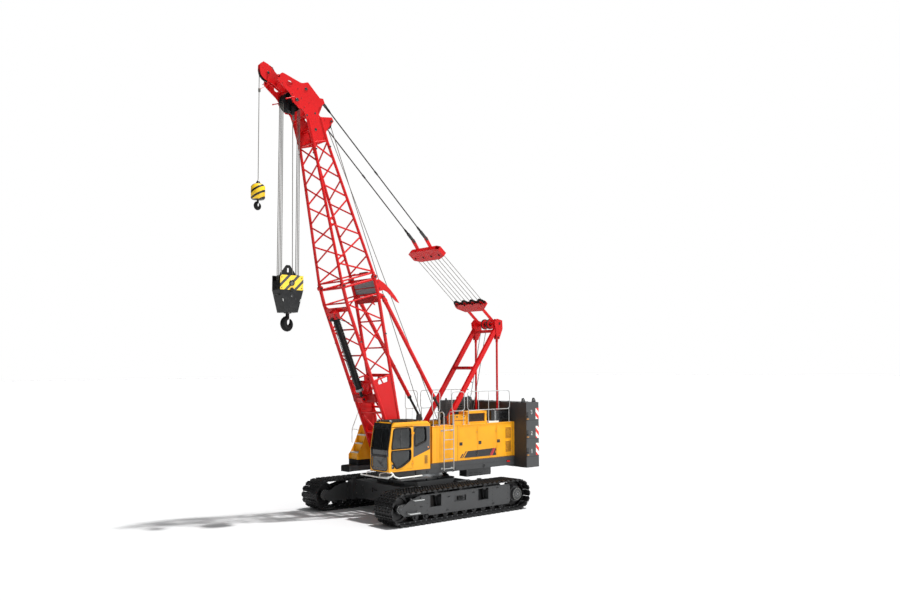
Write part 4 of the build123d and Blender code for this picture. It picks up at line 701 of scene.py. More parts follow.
# slewing ring: a lip and the bolts round its outer flange
centre.spin((0, 0, 1250), UP, [(980, -40), (980, -6), (952, -6)], 0, 64)
for x, y in arc(0, 0, 966, 48):
    centre.bolt((x, y, 1244), UP, 13, 14, 1)
# tread plates on the carbody and the beams, with round bars
for y0, y1 in ((1160, 1750), (-1750, -1160)):
    for x0, x1 in ((-1480, -860), (860, 1480)):
        centre.box(x0, x1, y0, y1, 1029, 1036, 2)
        xs = [x0 + (i + 0.5) * (x1 - x0) / 7 for i in range(7)]
        centre.treads(xs, [y0 + (j + 0.5) * (y1 - y0) / 7 for j in range(7)], 1038, 22, 3, 2, 2)
# gussets of the ring seat, covers and lashing eyes on the box
for i in range(12):
    t = 2 * pi * (i + 0.5) / 12
    a, b = Vector((cos(t), sin(t), 0)), Vector((-sin(t), cos(t), 0))
    low = Vector((0, 0, 1152))
    centre.prism([a * 945 + low, a * 1060 + low, a * 945 + Vector((0, 0, 1212))], b * 14)
for side in (1, -1):
    for end in (1, -1):
        x = end * 1175
        centre.box(x - 200, x + 200, side * 1160, side * 1172, 560, 900, 0)
        y = side * 1560
        centre.handle((x - 60, y, 1031), (x + 60, y, 1031), (0, 0, 61), 25, 13, 3)
        face = end * 1501
        centre.box(face, face + end * 8, side * 1180, side * 1650, 520, 900, 0)
        for z in (560, 860):
            for y in (1220, 1610):
                centre.bolt((face + end * 8, side * y, z), (end, 0, 0), 12, 10, 1)
        centre.box(face, face + end * 60, side * 560, side * 600, 700, 860, 0)
        centre.handle((face, side * 480, 780), (face, side * 330, 780), (end * 70, 0, 0), 22, 12, 3)
# rotary joint hoses under the ring, along the box
for k in range(4):
    for end in (1, -1):
        y = k - 1.5
        centre.hose([(end * 400, y * 60, 1150), (end * 1000, y * 60, 1190), (end * 1130, y * 75, 1150),
                     (end * 1160, y * 80, 960)], 5, 14, 4)
centre.make(bevel=2)


# ------------------------------------------------------------------ ropes
def fine(a, b, count=24):
    """A straight line in short steps."""
    a, b = Vector(a), Vector(b)
    return [a + (b - a) * (i / count) for i in range(count + 1)]


# shafts of the main head sheaves, the tip sheave and the deflector sheaves
MAIN = boom_xz(12960, 525)
TIP = boom_xz(14000, 1115)
DEFL = boom_xz(12110, -620)
# the hook blocks' sheave shafts, the gantry head's shaft and the slope of the luffing falls
HX, HZ = 5356, 7730
AX, AZ = 6480, 11180
GANTRY_HEAD, FALLS = (-3600, 6860), 40
BLOCK_AT, BAIL_AT = 1240, 3930      # the sheave block and the bail, along the falls from the head
HEAD_R, TIP_R, DEFL_R, FLAT_R = 315, 277, 195, 112      # the rope's radius on each kind of sheave
# main falls, from the head sheaves' front and rear tangents to the hook block's
piece = Piece("main_falls", "rope_socket", "strand")
spots = [(-120, -150), (-40, -50), (40, 50), (120, 150)]
for head_y, hook_y in spots:
    for sign in (1, -1):
        if sign < 0 and head_y == -120:
            continue
        top = Vector((MAIN[0] + sign * HEAD_R, head_y, MAIN[1]))
        low = Vector((HX + sign * 316, hook_y, HZ))
        piece.tube(fine(top, low), 13, 0, 8)
piece.tube(fine((MAIN[0], 207, MAIN[1] - 440), (HX - 60, 196, HZ + 300)), 13, 0, 8)
falls = piece.make(ride=False)
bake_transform(falls)
# auxiliary rope
piece = Piece("auxiliary_rope", "limit_weight", "strand")
piece.tube(fine((TIP[0] + 275, 0, TIP[1]), (AX, 0, AZ + 10)), 12, 0, 8)
aux = piece.make(ride=False)
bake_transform(aux)
# rope on the sheaves at the boom's head: turns over the top
wraps = Piece("rope_over_head_sheaves", "boom", "strand")
for y in (-120, -40, 40, 120):
    wraps.tube([(x, y, z) for x, z in arc(*MAIN, HEAD_R, 24, 0, pi)], 13, 0, 8)
wraps.tube([(TIP[0] + TIP_R * cos(t), 0, TIP[1] + TIP_R * sin(t))
            for t in [radians(-8 + 172 * k / 24) for k in range(25)]], 12, 0, 8)
for y in (-110, 110):
    wraps.tube([(DEFL[0] + DEFL_R * cos(t), y, DEFL[1] + DEFL_R * sin(t))
                for t in [radians(70 + 110 * k / 16) for k in range(17)]], 13, 0, 8)
wraps.make()


# luffing falls from the gantry's sheave block to the floating bail, and their turns round the flat sheaves
def fall_point(d, y=0):
    """A point in the plane of the falls, d along them from the gantry head."""
    x, z = on_line(GANTRY_HEAD, FALLS, d)
    return Vector((x, y, z))


piece = Piece("luffing_falls", "gantry_block", "strand")
around = {"gantry_block": Piece("rope_round_block_sheaves", "gantry_block", "strand"),
          "floating_bail": Piece("rope_round_bail_sheaves", "floating_bail", "strand")}
for y in (705, 235, -235, -705):
    for edge in (FLAT_R, -FLAT_R):
        piece.tube(fine(fall_point(BLOCK_AT, y + edge), fall_point(BAIL_AT, y + edge)), 11, 0, 8)
    for body, d, way in (("gantry_block", BLOCK_AT, 1), ("floating_bail", BAIL_AT, -1)):
        turns = [pi * k / 16 for k in range(17)]
        bend = [fall_point(d - way * FLAT_R * sin(t), y + FLAT_R * cos(t)) for t in turns]
        around[body].tube(bend, 11, 0, 8)
luff = piece.make(ride=False)
near, far = on_line(GANTRY_HEAD, FALLS, 1500), on_line(GANTRY_HEAD, FALLS, 3700)
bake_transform(luff)
for piece in around.values():
    piece.make()

# hoist ropes from the drums up the back of the boom
DRUM_Z, DRUM_HALF = 2330, 435
for name, x, y, defl_y, bent_share in (("main_hoist_rope", -1290, -60, -110, 0.15),
                                       ("auxiliary_hoist_rope", -430, 90, 110, 0.09)):
    piece = Piece(name, "upper_works", "strand")
    start = Vector((x - 60, y, DRUM_Z + 262))
    end = Vector((DEFL[0] - 190, defl_y, DEFL[1] - 40))
    piece.tube(fine(start, end, 40), 13, 0, 8)
    hoist = piece.make(ride=False)
    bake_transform(hoist)
# boom-hoist rope, from its drum up to the guide sheaves on the gantry head
piece = Piece("boom_hoist_rope", "upper_works", "strand")
for y in (-150, 150):
    head = (GANTRY_HEAD[0] + 178, y, GANTRY_HEAD[1] - 60)
    piece.tube(fine((-2200 - 225, y * 0.8, 2250 + 20), head, 20), 12, 0, 8)
piece.make()
# two layers of rope on each drum, and its flanges' bolts and caps
for body, x, z, radius in (("main_winch", -1290, DRUM_Z, 250), ("auxiliary_winch", -430, DRUM_Z, 250),
                           ("boom_hoist", -2200, 2250, 220)):
    coil = Piece(f"{body}_rope_layers", body, "strand", "drum", "bolt")
    turns = int((2 * DRUM_HALF - 20) / 27)
    for layer in (0, 1):
        r = radius + 12 + 23 * layer
        for k in range(turns - layer):
            coil.ring(x, -DRUM_HALF + 24 + 27 * k + 13 * layer, z, r, 28, 13)
    for side in (1, -1):
        flange = (x, side * (DRUM_HALF + 24), z)
        coil.ring_of_bolts(flange, (0, side, 0), 150, 10, 12, 10, 2)
        coil.spin(flange, (0, side, 0), [(120, 0), (110, 18), (70, 24), (66, 24)], 1, 24)
    coil.make()


# ------------------------------------------------------------------ operator's cab
CAB_IN, CAB_OUT, CAB_REAR, CAB_FRONT = 850, 1920, 860, 2600
CAB_MID = (CAB_IN + CAB_OUT) / 2


def ring_plate(piece, outline, hole, place, mat=0, thick=3):
    """A flat frame between two outlines with as many points; place turns (a, b, depth) into (x, y, z)."""
    for i, corner in enumerate(outline):
        j = (i + 1) % len(outline)
        flat = [place(a, b, 0) for a, b in (corner, outline[j], hole[j], hole[i])]
        piece.prism(flat, Vector(place(*corner, thick)) - Vector(place(*corner, 0)), mat)


def front_x(z):
    """The cab's front face at a height."""
    if z < 2400:
        return CAB_FRONT + 20 * (z - 1685) / 715
    return CAB_FRONT + 20 - 130 * (z - 2400) / 770


def loop_seal(piece, points, radius, mat=0, corner=45):
    """A rubber seal run round an opening with rounded corners."""
    pts = [Vector(p) for p in points]
    run = []
    for i, p in enumerate(pts):
        run += corner_points(pts[i - 1], p, pts[(i + 1) % len(pts)], corner, 0.4, 3)
    piece.tube(run, radius, mat, 8, True)


cab = Piece("cab_trim", "upper_works", "rubber", "weather", "black", "bolt", "amber", "grille", "lens",
            "white", "inside",
            "screen", "machined", "signal", "yellow", "tinted")
quarter = [(1030, 2640), (1530, 2470), (1530, 3120), (1060, 3120)]
border = [(872, 2352), (1588, 2112), (1588, 3168), (872, 3140)]
ring_plate(cab, border, quarter, lambda x, z, d: (x, CAB_OUT + d, z), 1, 3)
loop_seal(cab, [(x, CAB_OUT + 3, z) for x, z in quarter], 23, 0, 80)
right_window = [(1060, 2400), (2380, 2400), (2330, 3120), (1060, 3120)]
loop_seal(cab, [(x, CAB_IN - 2, z) for x, z in right_window], 15, 0, 60)
rear_window = [(1020, 2300), (1750, 2300), (1750, 3050), (1020, 3050)]
loop_seal(cab, [(CAB_REAR - 2, y, z) for y, z in rear_window], 15, 0, 60)
# the windscreen's broad black surround and its seal
posts = ((CAB_IN + 30, CAB_IN + 84), (CAB_OUT - 84, CAB_OUT - 26))
bands = [(z0, z1, *post) for z0, z1 in ((2200, 2400), (2400, 2760), (2760, 3290)) for post in posts]
bands += [(z0, z1, CAB_IN + 80, CAB_OUT - 80) for z0, z1 in ((2190, 2236), (3106, 3290))]
for z0, z1, y0, y1 in bands:
    corners = ((y0, z0), (y1, z0), (y1, z1), (y0, z1))
    cab.prism([(front_x(z), y, z) for y, z in corners], (4, 0, 0), 2)
pane = ((930, 2232), (930, 2400), (930, 3108), (1840, 3108), (1840, 2400), (1840, 2232))
loop_seal(cab, [(front_x(z) + 1, y, z) for y, z in pane], 12, 0, 50)
# the lower pane's printed border and its outer seal
rim = [(905, 1812), (995, 1722), (1745, 1722), (1835, 1812), (1835, 2190), (905, 2190)]
low_pane = [(960, 1840), (1000, 1800), (1770, 1800), (1810, 1840), (1810, 2150), (960, 2150)]
ring_plate(cab, rim, low_pane, lambda y, z, d: (front_x(z) + 1 + d, y, z), 13, 3)
loop_seal(cab, [(front_x(z) + 3, y, z) for y, z in rim], 13, 0, 50)
# wipers: pivot, arm and blade, above and below
for y0, z0, y1, z1, half in ((1700, 2215, 1430, 2800, 330), (1690, 2178, 1420, 1960, 0)):
    a = Vector((front_x(z0) + 14, y0, z0))
    b = Vector((front_x(z1) + 14, y1, z1))
    cab.rod(a - Vector((20, 0, 0)), a + Vector((16, 0, 0)), 17, 2, 14)
    cab.pipe([a, a + Vector((10, (y1 - y0) * 0.3, (z1 - z0) * 0.3)), b], 40, 6, 2)
    if half:
        c = Vector((front_x(z1 - half) + 8, y1, z1 - half))
        d = Vector((front_x(z1 + half * 0.9) + 8, y1, z1 + half * 0.9))
    else:
        c, d = b + Vector((-6, -160, 90)), b + Vector((-6, 150, -100))
    cab.tube([c, (c + d) / 2 + Vector((2, 0, 0)), d], 7, 0, 6)
# round lamp and louvred vent on the rear part of the left wall
cab.spin((955, CAB_OUT, 2424), LEFT, [(34, 0), (34, 10), (26, 16)], 3, 20)
cab.ball((955, CAB_OUT + 13, 2424), 24, 4, 14, (1, 0.5, 1))
cab.box(975, 1121, CAB_OUT - 1, CAB_OUT + 4, 1872, 2170, 12)
for k in range(9):
    z = 1892 + 31 * k
    blade = ((3, z), (15, z - 9), (15, z - 4), (3, z + 8))
    cab.prism([(985, CAB_OUT + out, height) for out, height in blade], (126, 0, 0), 5)
# drip rail over the door
cab.tube([(2395, CAB_OUT + 6, 3214), (2340, CAB_OUT + 8, 3245), (1000, CAB_OUT + 8, 3245),
          (905, CAB_OUT + 6, 3196)], 8, 12, 6)
# skylight with its guard of bars
cab.box(1330, 2310, 1010, 1760, 3308, 3322, 2)
cab.pipe([(1200, 960, 3345), (2420, 960, 3345), (2470, 1010, 3345), (2470, 1760, 3345), (2420, 1810, 3345),
          (1200, 1810, 3345), (1150, 1760, 3345), (1150, 1010, 3345), (1200, 960, 3345)], 40, 15, 0)
for k in range(8):
    y = 1030 + 101 * k
    cab.hose([(1152, y, 3345), (1500, y, 3366), (2100, y, 3366), (2468, y, 3345)], 3, 9, 0, 6)
for x in (1220, 1800, 2400):
    cab.rod((x, 962, 3345), (x, 1808, 3345), 9, 0, 6)
    for y in (962, 1808):
        cab.rod((x, y, 3300), (x, y, 3345), 13, 0, 8)
        cab.box(x - 26, x + 26, y - 20, y + 20, 3300, 3316, 2)
# working lamps under the roof's front edge, and a small aerial
for y in (1010, 1760):
    cab.box(2375, 2430, y - 60, y + 60, 3316, 3396, 2)
    cab.box(2430, 2436, y - 48, y + 48, 3326, 3388, 6)
cab.rod((980, 1040, 3305), (980, 1040, 3350), 22, 2, 12)
cab.rod((980, 1040, 3350), (960, 1040, 3780), 4, 2, 6)
# inside: consoles' tops, levers with gaiters, screen, pedals, headrest, belt and floor mat
for side in (1, -1):
    y = CAB_MID + side * 342
    cab.box(1300, 1800, y - 52, y + 52, 2252, 2262, 8)
    for x in (1640, 1760):
        cab.spin((x, y, 2262), UP, [(34, 0), (26, 22), (30, 30), (14, 62)], 0, 14)
        cab.rod((x, y, 2310), (x + 16, y, 2420), 8, 3, 8)
        cab.ball((x + 17, y, 2436), 24, 2, 12, (1, 1, 1.5))
    for k in range(4):
        cab.box(1340 + 60 * k, 1374 + 60 * k, y - 22, y + 22, 2262, 2272, 2 if k % 2 else 11)
cab.rod((2250, CAB_MID - 380, 1760), (2270, CAB_MID - 380, 2520), 17, 2, 10)
cab.brick((2250, CAB_MID - 370, 2600), (16, 0, 4), (0, 130, 0), (-24, 0, 95), 2)
cab.brick((2233, CAB_MID - 370, 2599), (2, 0, 0.5), (0, 112, 0), (-20, 0, 78), 9)
for y in (CAB_MID - 150, CAB_MID, CAB_MID + 150):
    cab.brick((2240, y, 1850), (55, 0, 60), (0, 40, 0), (-8, 0, 8), 0)
    cab.rod((2240, y, 1850), (2330, y, 1790), 11, 2, 8)
cab.box(1140, 1225, CAB_MID - 130, CAB_MID + 130, 2770, 2905, 0)
cab.hose([(1215, CAB_MID + 200, 2700), (1330, CAB_MID + 150, 2400), (1400, CAB_MID - 120, 2190),
          (1330, CAB_MID - 230, 2150)], 4, 9, 8, 4)
cab.box(1240, 2340, CAB_IN + 60, CAB_OUT - 60, 1736, 1742, 8)
cab.make(bevel=1.5)

# the door's seals, handles, lock, window frame and hinge bolts turn with it
door = Piece("cab_door_trim", "cab_door", "rubber", "black", "bolt", "yellow")
door_high = [(1700, 2430), (2500, 2430), (2410, 3120), (1700, 3120)]
door_low = [(1700, 2390), (1700, 2060), (2080, 1830), (2330, 1790), (2420, 1990), (2500, 2070), (2500, 2390)]
for outline, corner in ((door_high, 70), (door_low, 60)):
    loop_seal(door, [(x, CAB_OUT + 2, z) for x, z in outline], 25, 0, corner + 25)
    loop_seal(door, [(x, CAB_OUT - 52, z) for x, z in outline], 13, 0, corner)
door.box(2398, 2500, CAB_OUT - 2, CAB_OUT + 4, 1795, 1950, 1)
door.pipe([(2420, CAB_OUT + 2, 1815), (2420, CAB_OUT + 34, 1830), (2420, CAB_OUT + 34, 1915),
           (2420, CAB_OUT + 2, 1930)], 14, 8, 1)
door.spin((2468, CAB_OUT + 3, 1870), LEFT, [(17, 0), (17, 8), (8, 9), (0.1, 9)], 2, 14)
door.box(1690, 2512, CAB_OUT + 2, CAB_OUT + 26, 2403, 2419, 3)
# sliding window's middle frame and catch
door.box(2085, 2115, CAB_OUT - 36, CAB_OUT - 14, 2440, 3112, 1)
door.box(2060, 2140, CAB_OUT - 18, CAB_OUT - 6, 2720, 2790, 1)
door.pipe([(1690, CAB_OUT - 60, 2440), (1690, CAB_OUT - 95, 2500), (1690, CAB_OUT - 95, 2900),
           (1690, CAB_OUT - 60, 2960)], 25, 10, 1)
for z in (1950, 2900):
    door.bolt((1640, CAB_OUT + 15, z - 35), LEFT, 8, 7, 2)
door.make(bevel=1)

# the bent white rails before and beside the cab, and the footboard's tread
walk = Piece("cab_rails", "upper_works", "white", "tread", "chassis", "bolt")
walk.pipe([(2521, 1700, 1672), (2521, 1990, 1672), (2462, 2030, 1545), (2270, 2040, 1480), (1310, 2040, 1494)],
          60, 27, 0, 12)
walk.pipe([(1650, 2040, 1490), (1650, 2040, 1440), (1650, 1975, 1425)], 25, 16, 0, 10)
walk.pipe([(2622, 300, 1498), (2622, 457, 1501), (2622, 1401, 1490), (2622, 1857, 1525), (2590, 1990, 1545),
           (2521, 2010, 1600)], 60, 25, 0, 12)
walk.box(2540, 2640, 330, 1850, 1476, 1500, 0)
for y in (560, 1330):
    walk.pipe([(2622, y, 1495), (2560, y, 1495), (2560, y, 1600), (2310, y, 1620)], 40, 15, 0, 10)
walk.treads([1050 + 105 * i for i in range(12)], [1985 + 66 * j for j in range(3)], 1432, 24, 4, 3, 1)
walk.make()


# ------------------------------------------------------------------ houses, roof and weights
HOUSE, TOP, REAR = 1445, 3070, -3640


def clip_x(outline, x0, x1):
    """The part of an (x, z) outline between two x."""
    for edge, keep in ((x0, 1), (x1, -1)):
        run = []
        for i, p in enumerate(outline):
            q = outline[(i + 1) % len(outline)]
            inside, inside_q = (p[0] - edge) * keep >= 0, (q[0] - edge) * keep >= 0
            if inside:
                run.append(p)
            if inside != inside_q:
                t = (edge - p[0]) / (q[0] - p[0])
                run.append((edge, p[1] + (q[1] - p[1]) * t))
        outline = run
    return outline


# the stripe along each side: outline, material (0 black, 1 red) and thickness, cut where a door ends
bands = (([(-1084, 1863), (-1262, 2100), (-2520, 2129), (-2676, 2129), (-2676, 1860)], 0, 1.2),
         ([(-893, 1872), (-962, 1872), (-1074, 2022), (-1006, 2022)], 0, 1.2),
         ([(-990, 1866), (-1040, 1866), (-1215, 2098), (-1166, 2098)], 0, 1.2),
         ([(-2390, 1862), (-2560, 2128), (-2650, 2129), (-2480, 1861)], 1, 2.0),
         ([(-2344, 1862), (-2510, 2127), (-2530, 2127), (-2364, 1862)], 1, 2.0))
stripe_pieces = {}
for body, side, x0, x1 in (("left_front_door", 1, -1728, -842), ("upper_works", 1, -1768, -1732),
                           ("left_middle_door", 1, -2688, -1772), ("right_side_door", -1, -1728, -842),
                           ("upper_works", -1, -2688, -1732)):
    name = f"stripe_{body}_{'left' if side > 0 else 'right'}"
    piece = stripe_pieces[(body, side)] = Piece(name, body, "decal_black", "decal_red", "white")
    for outline, mat, thick in bands:
        part = clip_x(outline, x0, x1)
        if len(part) > 2:
            piece.plate(part, side * (HOUSE - 2), side * (HOUSE + thick), mat)
# where a hinge crosses the stripe it is painted over
for side, door in ((1, "left_front_door"), (-1, "right_side_door")):
    y = side * (HOUSE + 15)
    for body, low, high, far in ((door, 1949, 2020, -1674), ("upper_works", 2021, 2092, -1786)):
        cover = stripe_pieces[(body, side)]
        cover.rod((-1730, y, low), (-1730, y, high), 14.5, 0, 18)
        cover.box(-1730, far, side * (HOUSE - 1), side * (HOUSE + 16.5), low, high, 0)
for piece in stripe_pieces.values():
    piece.make()

# doors: latch, recess, folded edges, hinge bolts and louvres
for body, side, rear, front, latch in (("left_front_door", 1, -1730, -840, -943),
                                       ("left_middle_door", 1, -2690, -1770, -1868),
                                       ("left_rear_door", 1, -3500, -2730, -2805),
                                       ("right_side_door", -1, -1730, -840, -943)):
    leaf = Piece(f"{body}_fittings", body, "black", "machined", "bolt", "yellow", "grille", "rubber")
    y, out = side * HOUSE, Vector((0, side, 0))
    leaf.box(latch - 72, latch + 72, y - side * 2, y + side * 3, 2322, 2436, 0)
    leaf.box(latch - 56, latch + 56, y + side * 2, y + side * 8, 2338, 2420, 5)
    leaf.prism([(latch - 44, y + side * 6, 2400), (latch - 44, y + side * 22, 2392),
                (latch - 44, y + side * 16, 2346),
                (latch - 44, y + side * 6, 2344)], (88, 0, 0), 0)
    leaf.spin((latch + 30, y + side * 20, 2378), out, [(11, 0), (11, 4), (4, 5), (0.1, 5)], 1, 12)
    # a raised panel line and the stiffening folds
    foot = 1868 if body == "left_rear_door" else 2160
    leaf.box(rear + 45, front - 45, y - side, y + side * 2, 2961, 2967, 3)
    for x in (rear + 42, front - 42):
        leaf.box(x - 3, x + 3, y - side, y + side * 2, foot, 2964, 3)
    for z in (2020, 2810):
        leaf.bolt((rear + 30, y + side * 15, z - 35), out, 8, 6, 2)
        leaf.tube([(rear, y + side * 15, z - 72), (rear, y + side * 15, z - 78)], 9, 1, 8)
    if body == "left_rear_door":
        for low, high in ((1954, 2370), (2470, 2878)):
            leaf.box(-3465, -3160, y - side, y + side * 1.5, low - 12, high + 12, 3)
            for k in range(10):
                z = low + (high - low) * k / 10
                leaf.box(-3450, -3175, y, y + side * 3, z, z + 27, 4)
                leaf.louvre(-3450, y + side, z + 40, 275, side * 16, 14, 3)
    leaf.make(bevel=1)

house = Piece("house_fittings", "upper_works", "rubber", "yellow", "grille", "bolt", "black", "signal",
              "white", "amber",
              "weather", "tread", "machined", "lens", "pale")
for side in (1, -1):
    y, out = side * HOUSE, Vector((0, side, 0))
    # panel joints, roof-edge drip rails and the sill
    for x in (176, -777, -3545) if side > 0 else (176, -777, -1790, -2690, -3545):
        house.box(x - 4, x + 4, y - side * 3, y + side * 1, 1778, 3062, 0)
    house.box(REAR + 5, 385, y - side * 1, y + side * 9, 3050, 3066, 1)
    house.box(REAR + 5, 385, y - side * 1, y + side * 5, 1776, 1790, 4)
    for x in range(-3560, 380, 180):
        house.bolt((x, side * (HOUSE - 35), TOP), UP, 9, 6, 3)
    # lashing rings with their brackets along the deck beam, and two strips along it
    for x in (-3300, -2050, -620, 620):
        if side > 0 and -3400 < x < -3200:
            continue
        house.ring(x, y + side * 14, 1520, 42, 16, 9, 4)
        house.box(x - 30, x + 30, y - side * 2, y + side * 22, 1556, 1580, 8)
    house.box(REAR + 10, 380, y - side * 1, y + side * 6, 1434, 1448, 8)
    house.box(REAR + 10, 2290, y - side * 1, y + side * 6, 1622, 1638, 8)
    # the box slung under the deck with its dark slots
    bx = side * (HOUSE - 105)
    for x in (-2250, -2000, -1750, -1500):
        for z in (1160, 1265):
            house.box(x - 85, x + 85, bx - side * 3, bx + side * 3, z, z + 35, 4)
    for x in (-2480, -1320):
        for z in (1190, 1390):
            house.bolt((x, bx, z), out, 12, 10, 3)
# lamp on the beam's left rear, its twin on the right
for side in (1, -1):
    y = side * HOUSE
    house.box(-3372, -3212, y - side * 2, y + side * 16, 1556, 1622, 4)
    house.box(-3364, -3220, y + side * 15, y + side * 24, 1562, 1616, 5)
# the cooler box: dark mesh with a frame, lid seam, hinge and handles
for k in range(13):
    z = 3160 + 23.5 * k
    house.box(-2186, -1404, 1328, 1336, z - 4, z + 4, 2)
for k in range(27):
    x = -2180 + 30 * k
    house.box(x - 3, x + 3, 1326, 1334, 3152, 3448, 2)
house.box(-2190, -1400, 1322, 1326, 3150, 3450, 2)
for z in (3141, 3459):
    house.box(-2204, -1386, 1353, 1361, z - 8, z + 8, 1)
for x in (-2197, -1393):
    house.box(x - 8, x + 8, 1353, 1361, 3140, 3460, 1)
house.box(-2292, -1298, 898, 1358, 3494, 3499, 0)
for k in range(11):
    x = -1260 + 48 * k
    house.box(x, x + 26, 1334, 1337, 3200, 3262, 2)
    house.louvre(x, 1335, 3262, 26, 14, 16, 1)
house.box(-1300, -728, 948, 1338, 3392, 3396, 0)
for x in (-1180, -850):
    house.box(x - 40, x + 40, 1334, 1342, 3330, 3375, 4)
# silencer: bands, outlet pipe and pale base
drum_round = arc(-2850, 1100, 242, 16, -pi / 2, pi) + arc(-3330, 1100, 242, 16, pi / 2, pi)
for z in (3180, 3440):
    house.tube([(x, y, z) for x, y in drum_round], 7, 4, 6, True)
house.box(-2880, -2360, 1000, 1385, TOP + 1, TOP + 62, 6)
house.rod((-2700, 1150, TOP), (-2700, 1150, 3240), 62, 6, 20)
# service cover lids, fillers and handles on both roofs
for x0, x1, y0, y1 in ((-560, 130, 1030, 1330), (-2050, -1350, -1350, -950), (-1150, -450, -1350, -950),
                       (-300, 330, -1350, -950)):
    house.box(x0, x1, y0, y1, TOP - 2, TOP + 26, 1)
    house.box(x0 + 12, x1 - 12, y0 + 12, y1 - 12, TOP + 25, TOP + 30, 9)
    x, y = (x0 + x1) / 2, y1 - 45
    house.handle((x - 70, y, TOP + 28), (x + 70, y, TOP + 28), (0, 0, 34), 18, 8, 4)
for x, y in ((240, 1240), (-640, 1330)):
    house.spin((x, y, TOP), UP, [(62, 0), (62, 45), (54, 58), (0.1, 60)], 4, 20)
# the dark module over the right roof: lifting ears, vents, bolts
for x in (-3500, -2200):
    for y in (-1330, -920):
        house.prism([(x - 60, y - 9, 3848), (x + 60, y - 9, 3848), (x + 28, y - 9, 3950),
                     (x - 28, y - 9, 3950)], (0, 18, 0), 8)
for k in range(8):
    x = -3480 + 160 * k
    for y, way in ((-1371, -1), (-879, 1)):
        for j in range(7):
            z = 3180 + 80 * j
            house.box(x, x + 110, y, y + way * 3, z, z + 30, 4)
for z in (3095, 3820):
    for k in range(12):
        house.bolt((-3520 + 112 * k, -879, z), LEFT, 9, 7, 3)
# handrail beside the tank's steps
rail_y = -HOUSE - 62
house.pipe([(1796, -HOUSE - 2, 2440), (1796, rail_y, 2440), (1796, rail_y, 2910), (1390, rail_y, 3850),
            (1150, rail_y, 3850), (1150, rail_y, 3300), (1150, -HOUSE + 20, 3300)], 60, 16, 6, 10)
house.rod((1527, rail_y, 3532), (1150, rail_y, 3532), 12, 6, 10)
house.pipe([(1796, rail_y, 2905), (1640, rail_y, 2905), (1560, -HOUSE + 2, 2860)], 50, 12, 6, 10)
house.box(1000, 1250, -HOUSE - 4, -HOUSE + 2, 2100, 2560, 4)
house.spin((900, -1100, TOP), UP, [(85, 0), (85, 50), (74, 64), (0.1, 66)], 4, 24)
house.make(bevel=1.5)

# the fuel tank: its front is a flight of steps between sloping cheeks, on a dark base
tank = Piece("stepped_fuel_tank", "upper_works", "yellow", "rubber", "pale")
core = [(451, 1851), (451, 3069), (1440, 3069), (1440, 2711), (1560, 2711), (1560, 2413), (1690, 2413),
        (1690, 2107), (1915, 2107),
        (1915, 1851)]
cheek = [(451, 1851), (451, 3069), (1440, 3069), (1500, 3036), (1612, 2711), (1740, 2413), (1905, 2107),
         (1985, 2030), (1985, 1851)]
tank.plate(core, -1431, -907, 0)
for y in (-1443, -907):
    tank.plate(cheek, y, y + 14, 0)
tank.box(460, 1972, -1440, -896, 1640.5, 1851, 1)
tank.box(1972, 2260, -1440, -900, 1640.5, 1656, 1)
tank.box(2299, 2302.5, -1446, -900, 1434, 1642, 1)
for x0, x1, z in ((1440, 1612, 2711), (1560, 1740, 2413), (1690, 1935, 2107)):
    tank.box(x0, x1, -1429, -907, z, z + 9, 2)
    tank.box(x1 - 8, x1 + 3, -1429, -907, z - 26, z + 9, 2)
    ys = [-HOUSE + 75 + 56 * j for j in range(9)]
    tank.treads([x0 + 36 + 47 * i for i in range(3)], ys, z + 10, 13, 2.5, 2, 2)
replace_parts(tank.make(bevel=3), "fuel_tank_steps")

# handrails with bent corners on slim posts, and the ladder with its hooped stiles
RAIL_Y, RAIL_LOW, RAIL_HIGH = 1400, 3570, 4260
LADDER_Y, STILES, RUNGS = 1575, (-490, -40), (1560, 1900, 2240, 2580, 2920)
guard = Piece("bent_roof_rails", "upper_works", "rail")
for side in (1, -1):
    y = side * RAIL_Y
    for x0, x1, feet in ((-3440, -1310, (-3400, -2350, -1350)), (-1150, -560, (-1110, -600)),
                         (10, 350, (50, 310))):
        middle = (x0 + x1) / 2
        loop = [(middle, RAIL_HIGH), (x1, RAIL_HIGH), (x1, RAIL_LOW), (x0, RAIL_LOW), (x0, RAIL_HIGH),
                (middle - 1, RAIL_HIGH)]
        guard.pipe([(x, y, z) for x, z in loop], 130, 14, 0, 10)
        for x in feet:
            guard.rod((x, y, TOP), (x, y, RAIL_LOW), 14, 0, 10)
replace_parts(guard.make(), "roof_rails")
steps = Piece("hooped_ladder", "upper_works", "rail")
for x in STILES:
    hoop = [(x, LADDER_Y, 1500), (x, LADDER_Y, 3560), (x, 1330, 3560), (x, 1330, TOP)]
    steps.tube(bent(hoop, 122, 8), 16, 0, 12)
    for z in (2900, 1560):
        steps.rod((x, LADDER_Y, z), (x, 1446, z), 15, 0, 10)
for z in RUNGS:
    steps.rod((STILES[0], LADDER_Y, z), (STILES[1], LADDER_Y, z), 13, 0, 10)
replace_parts(steps.make(), "ladder")
